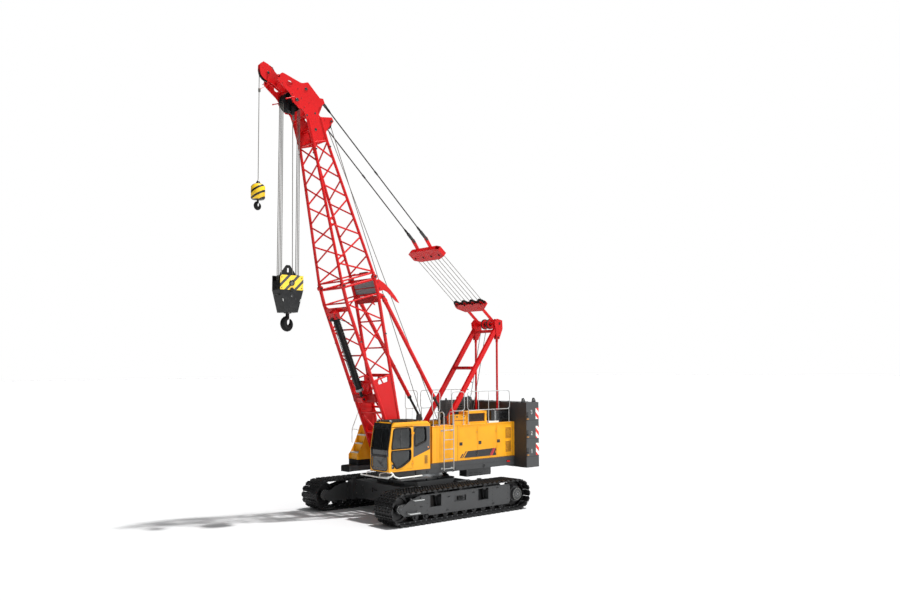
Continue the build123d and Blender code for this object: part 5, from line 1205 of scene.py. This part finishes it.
# the rails' base flanges and middle posts, the ladder's feet, brackets and grips
rails = Piece("rail_fittings", "upper_works", "rail", "bolt", "white", "black")
for side in (1, -1):
    y = side * RAIL_Y
    for x in (-3400, -2350, -1350, -1110, -600, 50, 310):
        rails.box(x - 42, x + 42, y - 42, y + 42, TOP, TOP + 9, 0)
        for dx in (-28, 28):
            for dy in (-28, 28):
                rails.bolt((x + dx, y + dy, TOP + 9), UP, 7, 7, 1)
    for x in (-2870, -2350, -1850):
        rails.rod((x, y, RAIL_LOW), (x, y, RAIL_HIGH), 10, 0, 10)
for x in STILES:
    rails.pipe([(x, LADDER_Y, 1565), (x, LADDER_Y, 1470), (x, 1500, 1432)], 40, 16, 0, 10)
    rails.spin((x, LADDER_Y, 1495), DOWN, [(24, 0), (24, 40), (16, 48), (0.1, 48)], 3, 12)
    for z in (2900, 1560):
        rails.box(x - 34, x + 34, 1445, 1452, z - 34, z + 34, 0)
for z in RUNGS:
    for x in range(-470, -60, 51):
        rails.rod((x, LADDER_Y, z + 13), (x, LADDER_Y, z + 19), 7, 0, 6)
rails.make()

# counterweights: layer numbers, warning stripes, lugs, seams, lifting fins and handles
weight = Piece("counterweight_fittings", "upper_works", "weather", "white", "tan", "black", "bolt", "rubber",
               "signal")
strips = Piece("counterweight_stripes", "upper_works", "red_stripe", "white")
W, BACK = 2105, -4395
# the strokes of the figures 1, 2 and 3 in a unit box: from (across, up) to (across, up)
strokes = (((0.5, 0.0, 0.5, 1.0), (0.5, 1.0, 0.28, 0.84)),
           ((0.1, 0.8, 0.3, 1.0), (0.3, 1.0, 0.7, 1.0), (0.7, 1.0, 0.9, 0.8), (0.9, 0.8, 0.9, 0.62),
            (0.9, 0.62, 0.1, 0.0), (0.1, 0.0, 0.9, 0.0)),
           ((0.1, 0.9, 0.3, 1.0), (0.3, 1.0, 0.7, 1.0), (0.7, 1.0, 0.9, 0.78), (0.9, 0.78, 0.6, 0.53),
            (0.6, 0.53, 0.4, 0.53), (0.6, 0.53, 0.9, 0.3), (0.9, 0.3, 0.7, 0.0), (0.7, 0.0, 0.3, 0.0),
            (0.3, 0.0, 0.1, 0.12)))
# each layer's figure, the foot and head of its stripes, and its lug
layers = ((1967, 1804, 2256, 1835), (2644, 2445, 2900, 2508), (3439, 3164, 3582, 3183))
FIGURE_X, TALL, WIDE = -3925, 130, 78
for side in (1, -1):
    y, out = side * W, Vector((0, side, 0))
    for figure, (z, low, high, lug) in zip(strokes, layers):
        for a, b, c, d in figure:
            p, q = [Vector((FIGURE_X - side * (across - 0.5) * WIDE, y, z - TALL / 2 + up * TALL))
                    for across, up in ((a, b), (c, d))]
            run = (q - p)
            along = run.normalized()
            weight.brick((p + q) / 2, along * (run.length / 2 + 9), out.cross(along) * 10, out * 1.6, 1)
        strips.box(-4300, -4140, y - side, y + side * 2.5, low, high, 0)
        a, b = Vector((-4305, y, low)), Vector((BACK, y - side * 90, low))
        rise = Vector((0, 0, high - low))
        strips.prism([a, b, b + rise, a + rise], (-2, side * 2, 0), 0)
        strips.box(BACK - 2.5, BACK + 1, side * 1560, side * 1990, low + 60, high - 60, 0)
        weight.prism([(-3735, y - side * 4, lug - 28), (-3645, y - side * 4, lug - 28),
                      (-3645, y + side * 46, lug - 20), (-3735, y + side * 46, lug - 20)], (0, 0, 44), 2)
        weight.rod((-3690, y, lug + 90), (-3690, y + side * 22, lug + 90), 24, 5, 14)
        weight.box(-3745, -3645, y - side * 2, y + side * 6, lug + 60, lug + 260, 3)
    for z in (1770, 2450, 3130):
        weight.box(-4303, REAR - 4, y - side * 4, y + side * 1.5, z - 5, z + 5, 5)
        weight.box(BACK - 1.5, BACK + 4, 0, side * 2010, z - 5, z + 5, 5)
    # lifting fins on the top slab
    for x in (-3675, -4240):
        weight.prism([(x - 105, side * 1890, 3798), (x + 105, side * 1890, 3798), (x + 62, side * 1890, 3960),
                      (x - 20, side * 1890, 3972), (x - 80, side * 1890, 3900)], (0, side * 34, 0), 3)
        weight.spin((x, side * 1885, 3885), (0, side, 0), [(34, 0), (34, 44), (22, 44), (22, 0)], 4, 16)
    # guide pockets and handles on the back
    for z in (1560, 2110, 2790, 3465):
        weight.box(BACK - 4, BACK + 2, side * 420, side * 700, z - 70, z + 70, 5)
        weight.handle((BACK, side * 1000, z), (BACK, side * 1180, z), (-70, 0, 0), 30, 14, 3)
for side in (1, -1):
    weight.box(BACK - 14, BACK, side * 1250, side * 1480, 1420, 1500, 6)
# sockets in the top slab
for x in (-3760, -4270):
    for y in (-1500, -500, 500, 1500):
        weight.spin((x, y, 3800), UP, [(60, 0), (60, 12), (44, 14), (44, 4), (0.1, 4)], 5, 20)
    # painted shade: near-black sheets on the front faces of the right side's weights, beside the house, where
    # those faces lie in shadow
    for low, high in ((1364, 1768), (1774, 2448), (2454, 3128), (3134, 3798)):
        weight.box(REAR - 2, REAR + 1.5, -1452, -2100, low, high, 5)
weight.make(bevel=1)
strips.make()


# ------------------------------------------------------------------ boom
boom = Piece("boom_fittings", "boom", "red", "black", "dark_bolt", "red_bolt", "mesh", "dark_red", "rubber",
             "hose", place=B)
# half the boom's width and depth, the joint of its two sections, and the outer faces of the head plates
HALF, DEEP, JOINT, CHEEK = 715, 670, 6600, 462


def foot_depth(u):
    """Half the boom's depth over its tapering foot."""
    return 130 + 540 * u / 6000


def pin_end(piece, u, v, w, side, radius, mat=1, keeper=True):
    """The end of a pin with its chamfer and a bolted keeper plate."""
    profile = [(radius, -4), (radius, 16), (radius * 0.85, 24), (radius * 0.3, 24), (0.1, 20)]
    piece.spin((u, v, w), (0, 0, side), profile, mat, 22)
    if keeper:
        piece.brick((u - radius * 0.55, v, w + side * 12), (9, 0, 0), (0, radius * 1.5, 0), (0, 0, 7), 3)
        for dv in (-1.25, 1.25):
            piece.bolt((u - radius * 0.55, v + dv * radius, w + side * 17), (0, 0, side), 8, 8, 3)


for side in (1, -1):
    for front in (1, -1):
        # joint pins with collars and clips, weld rings on the chord ends
        w, v = side * HALF, front * DEEP
        boom.rod((JOINT, v, w - 92), (JOINT, v, w + 92), 34, 2, 16)
        for end in (1, -1):
            boom.spin((JOINT, v, w + end * 66), (0, 0, end), [(60, 0), (60, 10), (36, 12)], 0, 20)
            boom.tube([(a, b, w + end * 84) for a, b in arc(JOINT, v, 46, 14)], 4, 3, 5, True)
        for u in (6478, 6722):
            boom.spin((u, v, w), (1, 0, 0), [(62, -14), (68, 0), (62, 14)], 0, 20)
        # lifting pins on the chords of both sections
        for u, v, w in ((4580, foot_depth(4580), HALF), (11268, 284, CHEEK)):
            v, w = front * v, side * w
            boom.rod((u, v, w), (u, v, w + side * 92), 20, 1, 12)
            boom.spin((u, v, w + side * 92), (0, 0, side), [(30, -4), (30, 8), (0.1, 8)], 1, 14)
    # head plate: pins, plugs, bolts, reinforcing rings round its hole
    for u, v, r in ((12960, 525, 62), (13281, 69, 50), (12110, -620, 40)):
        pin_end(boom, u, v, side * (475 if r != 50 else CHEEK), side, r)
    for u, v, r in ((11909, 69, 50), (12420, 275, 34), (12450, -60, 34)):
        boom.spin((u, v, side * CHEEK), (0, 0, side), [(r, -3), (r, 5), (r * 0.9, 7), (0.1, 7)], 1, 22)
    for u, v in ((13322, 373), (13000, 328), (12810, 84), (13560, 900), (12700, 300), (11600, 250),
                 (11600, -170), (12060, 250), (12060, -560), (12200, -380), (13180, 640)):
        boom.bolt((u, v, side * CHEEK), (0, 0, side), 14, 12, 3)
    boom.spin((13530, 635, side * CHEEK), (0, 0, side), [(90, 0), (90, 9), (112, 9), (114, 0)], 0, 36)
    # a doubling plate along the chord where it runs into the head plate
    for v in (272, -262):
        boom.slab([(11460, v + 34), (11460, v - 34), (12240, v * 0.9 - 30), (12300, v * 0.9),
                   (12240, v * 0.9 + 30)], side * 461, side * 12)
    # pegs that guide the main falls, with their round ends
    boom.rod((13067, 560, side * 450), (13042, 905, side * 450), 19, 0, 12)
    boom.ball((13042, 905, side * 450), 27, 0, 12)
    # ears on the plate's upper corner
    boom.spin((13800, 985, side * 430), (0, 0, side), [(52, 0), (52, 32), (24, 32), (24, 0)], 0, 20,
              close=True)
    # cheeks of the tip sheave: pin end, bolts
    boom.spin((14000, 1115, side * (84 if side < 0 else 108)), (0, 0, side),
              [(42, -4), (42, 12), (34, 18), (0.1, 18)], 7, 22)
    for u, v in ((13700, 560), (13820, 900), (14190, 1250)):
        boom.bolt((u, v, side * 74), (0, 0, side), 12, 10, 3)
    # the horn behind each backstop's bracket
    boom.slab([(6480, -688), (6480, -820), (6290, -1010), (6010, -1200), (5720, -1350), (5464, -1440),
               (5560, -1330), (5760, -1190), (5950, -1070), (6060, -930), (6070, -688)], side * 700, side * 58)
    for u in (6400, 6160):
        boom.bolt((u, -760, side * 758), (0, 0, side), 22, 16, 3)
    pin_end(boom, 5850, -820, side * 795, side, 30)
    # edge flanges on the foot plates and bolts by the notch
    for front in (1, -1):
        a, b = 560, 3120
        va, vb = front * (foot_depth(a) + 42), front * (foot_depth(b) + 42)
        boom.slab([(a, va - 8), (b, vb - 8), (b, vb + 8), (a, va + 8)], side * 672, side * 82)
    for u, v in ((2860, 330), (2860, -330), (2980, 330), (2980, -330), (700, 60), (700, -60)):
        boom.bolt((u, v, side * 740), (0, 0, side), 15, 12, 3)
boom.rod((14150, 905, -108), (14150, 905, 108), 13, 0, 10)
boom.rod((13655, 1340, -74), (13655, 1340, 74), 12, 0, 10)
# mesh panel and box beam between the rear chords below the joint
boom.box(5960, 6505, -694, -682, -652, 652, 4)
for u in (5960, 6230, 6500):
    boom.box(u - 16, u + 16, -704, -672, -662, 662, 5)
for w in (-650, 650):
    boom.box(5960, 6505, -704, -672, w - 14, w + 14, 5)
boom.box(5695, 5925, -732, -640, -655, 655, 5)
for w in (-420, 0, 420):
    boom.spin((5810, -732, w), (0, -1, 0), [(62, 0), (62, 4), (48, 6), (0.1, 6)], 1, 24)
for w in (-230, 230):
    boom.box(5730, 5890, -760, -732, w - 70, w + 70, 0)


def at_face(u, face, w):
    """A point on the foot plates' front (1) or rear (-1) edge."""
    return u, face * (foot_depth(u) - 30), w


# bracing between the foot plates: cross tubes, diagonals and the assembly cylinder's beam
for face in (1, -1):
    for u, radius in ((3080, 34), (1950, 40), (1150, 46)):
        boom.rod(at_face(u, face, -690), at_face(u, face, 690), radius, 0, 14)
    for side in (1, -1):
        boom.rod(at_face(3040, face, side * 40), at_face(2000, face, side * 680), 28, 0, 12)
        boom.rod(at_face(1910, face, side * 680), at_face(1190, face, side * 40), 30, 0, 12)
        boom.rod(at_face(3040, face, side * 690), at_face(2480, face, side * 150), 24, 0, 12)
boom.box(2380, 2640, 300, 452, -690, 690, 5)
boom.box(2420, 2600, 440, 640, -150, 150, 0)
for side in (1, -1):
    boom.prism([(2640, 452, side * 120), (2380, 452, side * 120), (2300, 340, side * 120),
                (2220, 150, side * 120),
                (2860, 150, side * 120)], (0, 0, side * 22), 0)
    boom.box(2400, 2620, 250, 300, side * 420, side * 690, 0)
    boom.rod((2520, 560, side * 150), (2520, 560, side * 176), 42, 6, 18)
# rope guide rollers across the rear face above the joint, with their brackets
u, v, half = 6760, -DEEP - 60, 560
boom.rod((u, v - 40, -half), (u, v - 40, half), 15, 2, 10)
for w in (-half, half):
    boom.box(u - 34, u + 34, v - 74, v + 60, w - 7, w + 7, 0)
for w in (-160, 0, 160):
    boom.spin((u, v - 40, w), UP, [(38, -66), (46, -60), (46, 60), (38, 66)], 6, 18)
boom.make(bevel=1)

# the stowed cylinder's ribs, end clamps, pin, hoses and valve
lift = Piece("assembly_cylinder_fittings", "boom", "ram", "machined", "dark_bolt", "red", "hose", "rubber",
             place=B)
top, low = Vector((5640, 805, 0)), Vector((2850, 545, 0))
run = (low - top).normalized()
for k in range(46):
    lift.spin(top + run * (150 + 57 * k), run, [(106, -18), (121, -9), (121, 9), (106, 18)], 0, 24)
lift.spin(low, run, [(126, -60), (134, -50), (134, 34), (126, 44), (58, 46)], 1, 28)
lift.spin(low + run * 258, run, [(56, -20), (66, -14), (66, 14), (0.1, 20)], 1, 20)
for u in (5540, 5660):
    for w in (-131, 131):
        for v in (800, 870):
            lift.bolt((u, v, w), (0, 0, w), 16, 12, 2)
for side in (1, -1):
    lift.hose([top + run * 260 + Vector((0, 60, side * 118)), top + run * 700 + Vector((0, 70, side * 142)),
               top + run * 1900 + Vector((0, 60, side * 148)), low + run * -180 + Vector((0, 80, side * 110))],
              8, 11, 4)
    lift.hose([(5600, 820, side * 120), (5640, 900, side * 210), (5560, 930, side * 300),
               (5420, 790, side * 380), (5300, 660, side * 560)], 6, 12, 4)
    for u in (5700, 5860):
        lift.bolt((u, 690, side * 480), LEFT, 14, 12, 2)
lift.box(5496, 5704, 686, 928, -138, 138, 3)
lift.box(5450, 5560, 929, 985, -70, 70, 0)
for w in (-45, 0, 45):
    lift.rod((5505, 980, w), (5505, 1012, w), 13, 2, 10)
lift.make(bevel=1)

# stay ends: sockets and ferrules
stay = Piece("stay_fittings", "boom_stays", "rubber", "dark_bolt", "ropes")
rear = on_line(GANTRY_HEAD, FALLS, BAIL_AT)
front = on_line(rear, 53, 700)
head = boom_xz(12830, -475)
length = hypot(head[0] - front[0], head[1] - front[1])
along = Vector(((head[0] - front[0]) / length, 0, (head[1] - front[1]) / length))
for side in (1, -1):
    a = Vector((front[0], side * 385, front[1]))
    for at, sign in ((345, 1), (length - 245, -1)):
        stay.spin(a + along * at, along * sign, [(40, 0), (40, 150), (30, 215), (24, 250), (22, 250)], 0, 20)
    stay.spin(a + along * (length * 0.5), along, [(22, -90), (32, -80), (32, 80), (22, 90)], 2, 16)
stay.make()


# ------------------------------------------------------------------ gantry, luffing gear, backstops
def falls_place(d, y, n):
    """(d, y, n) on the luffing falls' own plane, d from the gantry head."""
    a = radians(FALLS)
    return P(GANTRY_HEAD[0] + d * cos(a) - n * sin(a), y, GANTRY_HEAD[1] + d * sin(a) + n * cos(a))


# for each: its place along the falls, its cover's reach to both sides of that and half its width, the rim
# of its sheaves, how far its cross rods stand off and how wide apart they may be
for body, d, near, far, wide, rim, off, reach in (("gantry_block", BLOCK_AT, -390, 26, 850, 186, -170, 600),
                                                  ("floating_bail", BAIL_AT, -205, 326, 905, 126, 150, 900)):
    gear = Piece(f"{body}_fittings", body, "red", "rubber", "red_bolt", "machined", place=falls_place)
    # cover plates over the sheaves, closed at both ends
    cover = [(d + near, -wide * 0.62), (d + near * 0.45, -wide), (d + far - 60, -wide),
             (d + far, -wide * 0.82),
             (d + far, wide * 0.82), (d + far - 60, wide), (d + near * 0.45, wide), (d + near, wide * 0.62)]
    for n in (76, -88):
        gear.slab(cover, n, 12)
    for y in (wide - 12, -wide):
        gear.box(d + near * 0.45, d + far - 60, y, y + 12, -76, 76, 0)
    if body == "floating_bail":
        gear.box(d + far - 14, d + far, -wide * 0.8, wide * 0.8, -76, 76, 0)
    for y in (705, 235, -235, -705):
        for n in (1, -1):
            gear.spin((d, y, n * 87), (0, 0, n), [(40, 0), (40, 10), (30, 16), (0.1, 16)], 1, 22)
            gear.ring_of_bolts((d, y, n * 87), (0, 0, n), 62, 6, 7, 7, 2)
        profile = [(96, -24), (rim, -23.5), (rim, -15), (108, -12), (108, 12), (rim, 15), (rim, 23.5),
                   (96, 24)]
        gear.spin((d, y, 0), UP, profile, 1, 36)
    for y in (-860, -470, 0, 470, 860):
        if abs(y) < reach:
            gear.rod((d + off, y * 0.9, -62), (d + off, y * 0.9, 62), 24, 0, 12)
    gear.make(bevel=1)

mast = Piece("gantry_fittings", "upper_works", "red", "rubber", "red_bolt", "machined", "strand", "hose",
             "lens")
gx, gz = GANTRY_HEAD
groove = [(190, -24), (206, -23), (206, -16), (186, -4), (186, 4), (206, 16), (206, 23), (190, 24)]
for side in (1, -1):
    for x, z, y, r in ((gx, gz, 680, 58), (-3520, 6310, 690, 42), (-100, 1900, 666, 42),
                       (-3520, 1860, 666, 42),
                       (1150, 1800, 816, 72)):
        mast.spin((x, side * y, z), (0, side, 0), [(r, 0), (r, 14), (r * 0.86, 22), (r * 0.3, 22), (0.1, 18)],
                  1, 24)
        mast.brick((x + r * 0.2, side * (y + 12), z - r * 0.62), (r * 0.9, 0, 0), (0, 6, 0), (0, 0, 9), 2)
        for dx in (-0.55, 0.95):
            mast.bolt((x + r * dx, side * (y + 18), z - r * 0.62), (0, side, 0), 8, 7, 2)
    for x, z in ((-3660, 6930), (-3440, 6960), (-3400, 6640), (-3560, 6400)):
        mast.bolt((x, side * 700, z), (0, side, 0), 13, 11, 2)
    # guide sheaves on the head shaft: groove and hub
    mast.spin((gx, side * 152, gz), LEFT, groove, 1, 40)
    mast.spin((gx, side * 152, gz), LEFT, [(86, -34), (86, 34), (56, 36)], 1, 28)
    # backstop post: bolts and a pin head
    mast.spin((-720, side * 790, 3330), (0, side, 0), [(30, 0), (30, 10), (0.1, 12)], 2, 16)
    for z in (2900, 3110):
        mast.bolt((-720, side * 785, z), (0, side, 0), 14, 12, 2)
    # weld collars where the cross tubes meet the legs
    for share in (0.65, 0.94):
        x, z = -100 + (gx + 100) * share, 1900 + (gz - 1900) * share
        mast.spin((x, side * 560, z), (0, -side, 0), [(74, -2), (72, 12), (63, 22)], 0, 24)
    # collars of the back links
    for z in (6180, 2060):
        mast.spin((-3520, side * 620, z), UP, [(43, -60), (52, -46), (52, 46), (43, 60)], 0, 20)
# service rungs up the rear of the left leg
for k in range(9):
    share = 0.12 + 0.055 * k
    x, z = -100 + (gx + 100) * share, 1900 + (gz - 1900) * share
    mast.pipe([(x - 60, 590, z - 45), (x - 150, 590, z - 108), (x - 150, 650, z - 108), (x - 60, 650, z - 45)],
              14, 8, 1, 6)
mast.make(bevel=1)

stops = Piece("backstop_fittings", "backstop_tubes", "red", "black", "bolt")
px, pz = boom_xz(5850, -820)
reach = hypot(-720 - px, 3330 - pz)
down = Vector(((-720 - px) / reach, 0, (3330 - pz) / reach))
for side in (1, -1):
    a = Vector((px, side * 745, pz))
    for at in (260, 1500, 2900):
        stops.spin(a + down * at, down, [(70, -30), (78, -20), (78, 20), (70, 30)], 0, 24)
    stops.spin(a + down * 4300, -down, [(47, 0), (80, 0), (80, 90), (70, 100)], 1, 24)
    stops.ring_of_bolts(a + down * 4300, down, 64, 6, 7, 7, 2)
stops.make()


# ------------------------------------------------------------------ hook blocks and hooks
block = Piece("main_block_fittings", "main_block", "hook_stripe_side", "cabin", "black", "dark_bolt", "white",
              "machined", "sheave")
for side in (1, -1):
    y, out = side * 270, Vector((0, side, 0))
    block.plate([(HX - 427, HZ - 4), (HX + 427, HZ - 4), (HX + 427, HZ + 470), (HX + 419, HZ + 479),
                 (HX - 419, HZ + 479), (HX - 427, HZ + 470)], y - side, y + side * 2.5, 0)
    block.plate([(HX - 427, HZ - 6), (HX - 231, HZ - 741), (HX + 231, HZ - 741), (HX + 427, HZ - 6)], y - side,
                y + side * 2.5, 1)
    block.spin((HX, y, HZ + 225), out, [(98, 0), (98, 16), (88, 26), (40, 26), (0.1, 24)], 2, 32)
    block.spin((HX, y, HZ - 200), out, [(60, 0), (60, 14), (50, 20), (0.1, 20)], 2, 28)
    for x, z in ((-370, 400), (370, 400), (-370, 60), (370, 60), (-150, -300), (150, -300), (-90, -640),
                 (90, -640), (0, -470)):
        block.bolt((HX + x, y + side * 2, HZ + z), out, 15, 13, 3)
    for end in (1, -1):
        block.prism([(HX + end * 318, y, HZ - 300), (HX + end * 336, y, HZ - 295),
                     (HX + end * 316, y, HZ - 390),
                     (HX + end * 298, y, HZ - 385)], out * 4, 4)
    # reeving guards between the falls
    block.rod((HX - 300, side * 100, HZ + 380), (HX + 300, side * 100, HZ + 380), 14, 2, 10)
for end in (1, -1):
    for y in (-140, 140):
        for z in (HZ + 240, HZ + 60):
            block.bolt((HX + end * 428, y, z), (end, 0, 0), 13, 11, 3)
    x = HX + end * 380
    block.handle((x, -120, HZ - 180), (x, 120, HZ - 180), (end * 60, 0, 15), 26, 11, 2)
for y in (-150, -50, 50, 150):
    profile = [(318, -32), (334, -31), (334, -24), (314, -6), (314, 6), (334, 24), (334, 31), (318, 32)]
    block.spin((HX, y, HZ), LEFT, profile, 6, 48)
block.spin((HX, 0, HZ - 744), DOWN, [(120, -4), (120, 22), (104, 30), (64, 30)], 2, 28)
block.make(bevel=1)


def forged_hook(name, body, x, z, top, size):
    """A forged hook: its shank, and a bowl that swells round the back and thins to the point."""
    piece = Piece(name, body, "forged")
    marks = []
    for turn, thick in ((90, 0.36), (70, 0.43), (50, 0.5), (30, 0.56), (10, 0.6), (-10, 0.62), (-30, 0.62),
                        (-50, 0.62), (-70, 0.62), (-90, 0.6), (-110, 0.56), (-130, 0.5), (-150, 0.44),
                        (-170, 0.38), (-190, 0.31), (-208, 0.24), (-222, 0.16)):
        a = radians(turn)
        marks.append((Vector((x + 0.74 * size * cos(a), 0, z + 0.92 * size * sin(a))), thick * size))
    for (a, ra), (b, rb) in zip(marks, marks[1:]):
        piece.rod(a, b, ra, 0, 16, rb)
        piece.ball(b, rb, 0, 14)
    piece.rod((x, 0, z + 0.92 * size), (x, 0, top), 0.33 * size, 0, 20)
    piece.ball((x, 0, z + 0.92 * size), 0.36 * size, 0, 14)
    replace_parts(piece.make(), body)


latch = Piece("main_hook_fittings", "main_hook", "forged", "dark_bolt", "black")
cx, cz = HX, HZ - 1090
latch.plate([(cx - 18, cz + 232), (cx + 40, cz + 214), (cx + 176, cz + 60), (cx + 152, cz + 44)], -42, 42)
latch.rod((cx + 6, -58, cz + 222), (cx + 6, 58, cz + 222), 12, 1, 10)
spring = [(cx + 6 + 16 * cos(0.6 * k), 26 - k * 1.2, cz + 222 + 16 * sin(0.6 * k)) for k in range(42)]
latch.tube(spring, 3, 1, 5)
latch.spin((cx, 0, HZ - 600), DOWN, [(62, 140), (74, 150), (74, 172), (62, 182)], 2, 24)
latch.make()

ball = Piece("auxiliary_block_fittings", "auxiliary_block", "hook_stripe", "black", "dark_bolt", "machined")
ball.spin((AX, 0, AZ), UP, [(190, -543), (226, -504), (226, -118), (167, -52), (120, -33)], 0, 48)
ball.spin((AX, 0, AZ), UP, [(72, -12), (60, 30), (30, 70), (14, 92)], 1, 24)
ball.ring_of_bolts((AX, 0, AZ - 40), UP, 112, 6, 12, 10, 2)
ball.spin((AX, 0, AZ - 540), DOWN, [(96, -3), (96, 16), (80, 26), (34, 26)], 1, 24)
ball.make()
small = Piece("auxiliary_hook_fittings", "auxiliary_hook", "forged", "dark_bolt")
cx, cz = AX, AZ - 740
small.plate([(cx - 10, cz + 132), (cx + 24, cz + 122), (cx + 100, cz + 34), (cx + 86, cz + 25)], -24, 24)
small.rod((cx + 4, -33, cz + 126), (cx + 4, 33, cz + 126), 8, 1, 8)
small.make()
forged_hook("forged_main_hook", "main_hook", HX, HZ - 1090, HZ - 530, 185)
forged_hook("forged_auxiliary_hook", "auxiliary_hook", AX, AZ - 740, AZ - 400, 105)
# the hoist limit weight: a slim sleeve on the rope, hung from the tip sheave's cheek
tx, tz = TIP
limit = Piece("slim_limit_weight", "limit_weight", "strand", "red")
limit.spin((AX, 0, tz - 560), DOWN, [(27, 0), (38, 12), (38, 118), (27, 130)], 0, 20, close=True)
limit.spin((tx, 74, tz), LEFT, [(41, 0), (62, 0), (62, 14), (41, 14)], 1, 28, close=True)
limit.box(tx - 16, tx + 16, 74, 87, tz - 420, tz - 50, 1)
limit.rod((tx, 81, tz - 410), (AX, 42, tz - 600), 6, 1, 8)
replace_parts(limit.make(), "auxiliary_limit_weight")
sock = Piece("rope_socket_fittings", "rope_socket", "dark_bolt", "strand", "black")
sx, sz = MAIN
sock.rod((sx - 2, 207 - 46, sz - 190), (sx - 2, 207 + 46, sz - 190), 16, 0, 12)
sock.pipe([(sx - 30, 207, sz - 455), (sx - 46, 207, sz - 560), (sx - 60, 207, sz - 640)], 30, 13, 1)
for k in (0, 1, 2):
    sock.box(sx - 76, sx - 8, 207 - 20, 207 + 20, sz - 520 - 46 * k, sz - 500 - 46 * k, 2)
sock.make(bevel=1)


# ------------------------------------------------------------------ floor, light and camera
def lamp(name, kind, energy, place, aim=(0, 0, 2), **settings):
    data = bpy.data.lights.new(name, kind)
    data.energy = energy
    for key, value in settings.items():
        setattr(data, key, value)
    obj = bpy.data.objects.new(name, data)
    bpy.context.scene.collection.objects.link(obj)
    obj.location = place
    obj.rotation_euler = (Vector(aim) - Vector(place)).to_track_quat("-Z", "Y").to_euler()
    return obj


floor_mat = Nodes("studio_floor")
floor_mat.put(floor_mat.bsdf, Base_Color=(0.62, 0.62, 0.62, 1), Roughness=0.85, Specular_IOR_Level=0.1)
floor_mesh = bpy.data.meshes.new("studio_floor")
FLOOR = 400.0           # half the floor's side, in metres
floor_corners = [(-FLOOR, -FLOOR, 0), (FLOOR, -FLOOR, 0), (FLOOR, FLOOR, 0), (-FLOOR, FLOOR, 0)]
floor_mesh.from_pydata(floor_corners, [], [(0, 1, 2, 3)])
floor_mesh.materials.append(floor_mat.mat)
floor = bpy.data.objects.new("studio_floor", floor_mesh)
bpy.context.scene.collection.objects.link(floor)

# the room is bright behind and to the crane's left, and dark ahead of it; the camera sees plain white
world = bpy.data.worlds.new("studio")
bpy.context.scene.world = world
room = Nodes("studio", world)
toward = room.feed(room.new("VectorMath", operation="DOT_PRODUCT"), 0, room.coords, "Generated")
room.feed(toward, 1, (-0.62, 0.76, 0.18))
spread = room.new("MapRange", From_Min=-0.55, From_Max=0.85, To_Min=0.06, To_Max=0.85)
room.feed(spread, 0, toward, "Value")
soft = room.feed(room.new("Background", Color=(0.96, 0.98, 1.0, 1)), "Strength", spread)
plain = room.new("Background", Color=(1, 1, 1, 1), Strength=1.0)
pick = room.feed(room.new("MixShader"), 0, room.new("LightPath"), "Is Camera Ray")
room.feed(room.feed(pick, 1, soft), 2, plain)
room.feed(room.new("OutputWorld"), 0, pick)

sun_from = Vector((-0.182, 0.230, 0.956))
lamp("sun", "SUN", 4.2, sun_from * 60, aim=(0, 0, 0), angle=radians(2.5))
lamp("left_fill", "AREA", 3000.0, (-8, 32, 6), aim=(0, 0, 4), shape="RECTANGLE", size=16.0, size_y=12.0)

# the camera stands ahead of the crane on its left
YAW, PITCH, ROLL = radians(-131.808), radians(4.32), radians(-0.319)
forward = Vector((cos(YAW) * cos(PITCH), sin(YAW) * cos(PITCH), sin(PITCH)))
level = forward.cross(Vector(UP)).normalized()
above = level.cross(forward)
turned = level * cos(ROLL) + above * sin(ROLL)
raised = above * cos(ROLL) - level * sin(ROLL)
lens = bpy.data.cameras.new("camera")
lens.sensor_width = 36
lens.lens = 34.65
lens.shift_x = -0.032
lens.shift_y = 0.0016
lens.clip_end = 900
camera = bpy.data.objects.new("camera", lens)
bpy.context.scene.collection.objects.link(camera)
turn = Matrix((turned, raised, -forward)).transposed().to_4x4()
camera.matrix_world = Matrix.Translation((18.575, 25.545, 5.164)) @ turn
bpy.context.scene.camera = camera
bpy.context.scene.view_settings.view_transform = "Standard"
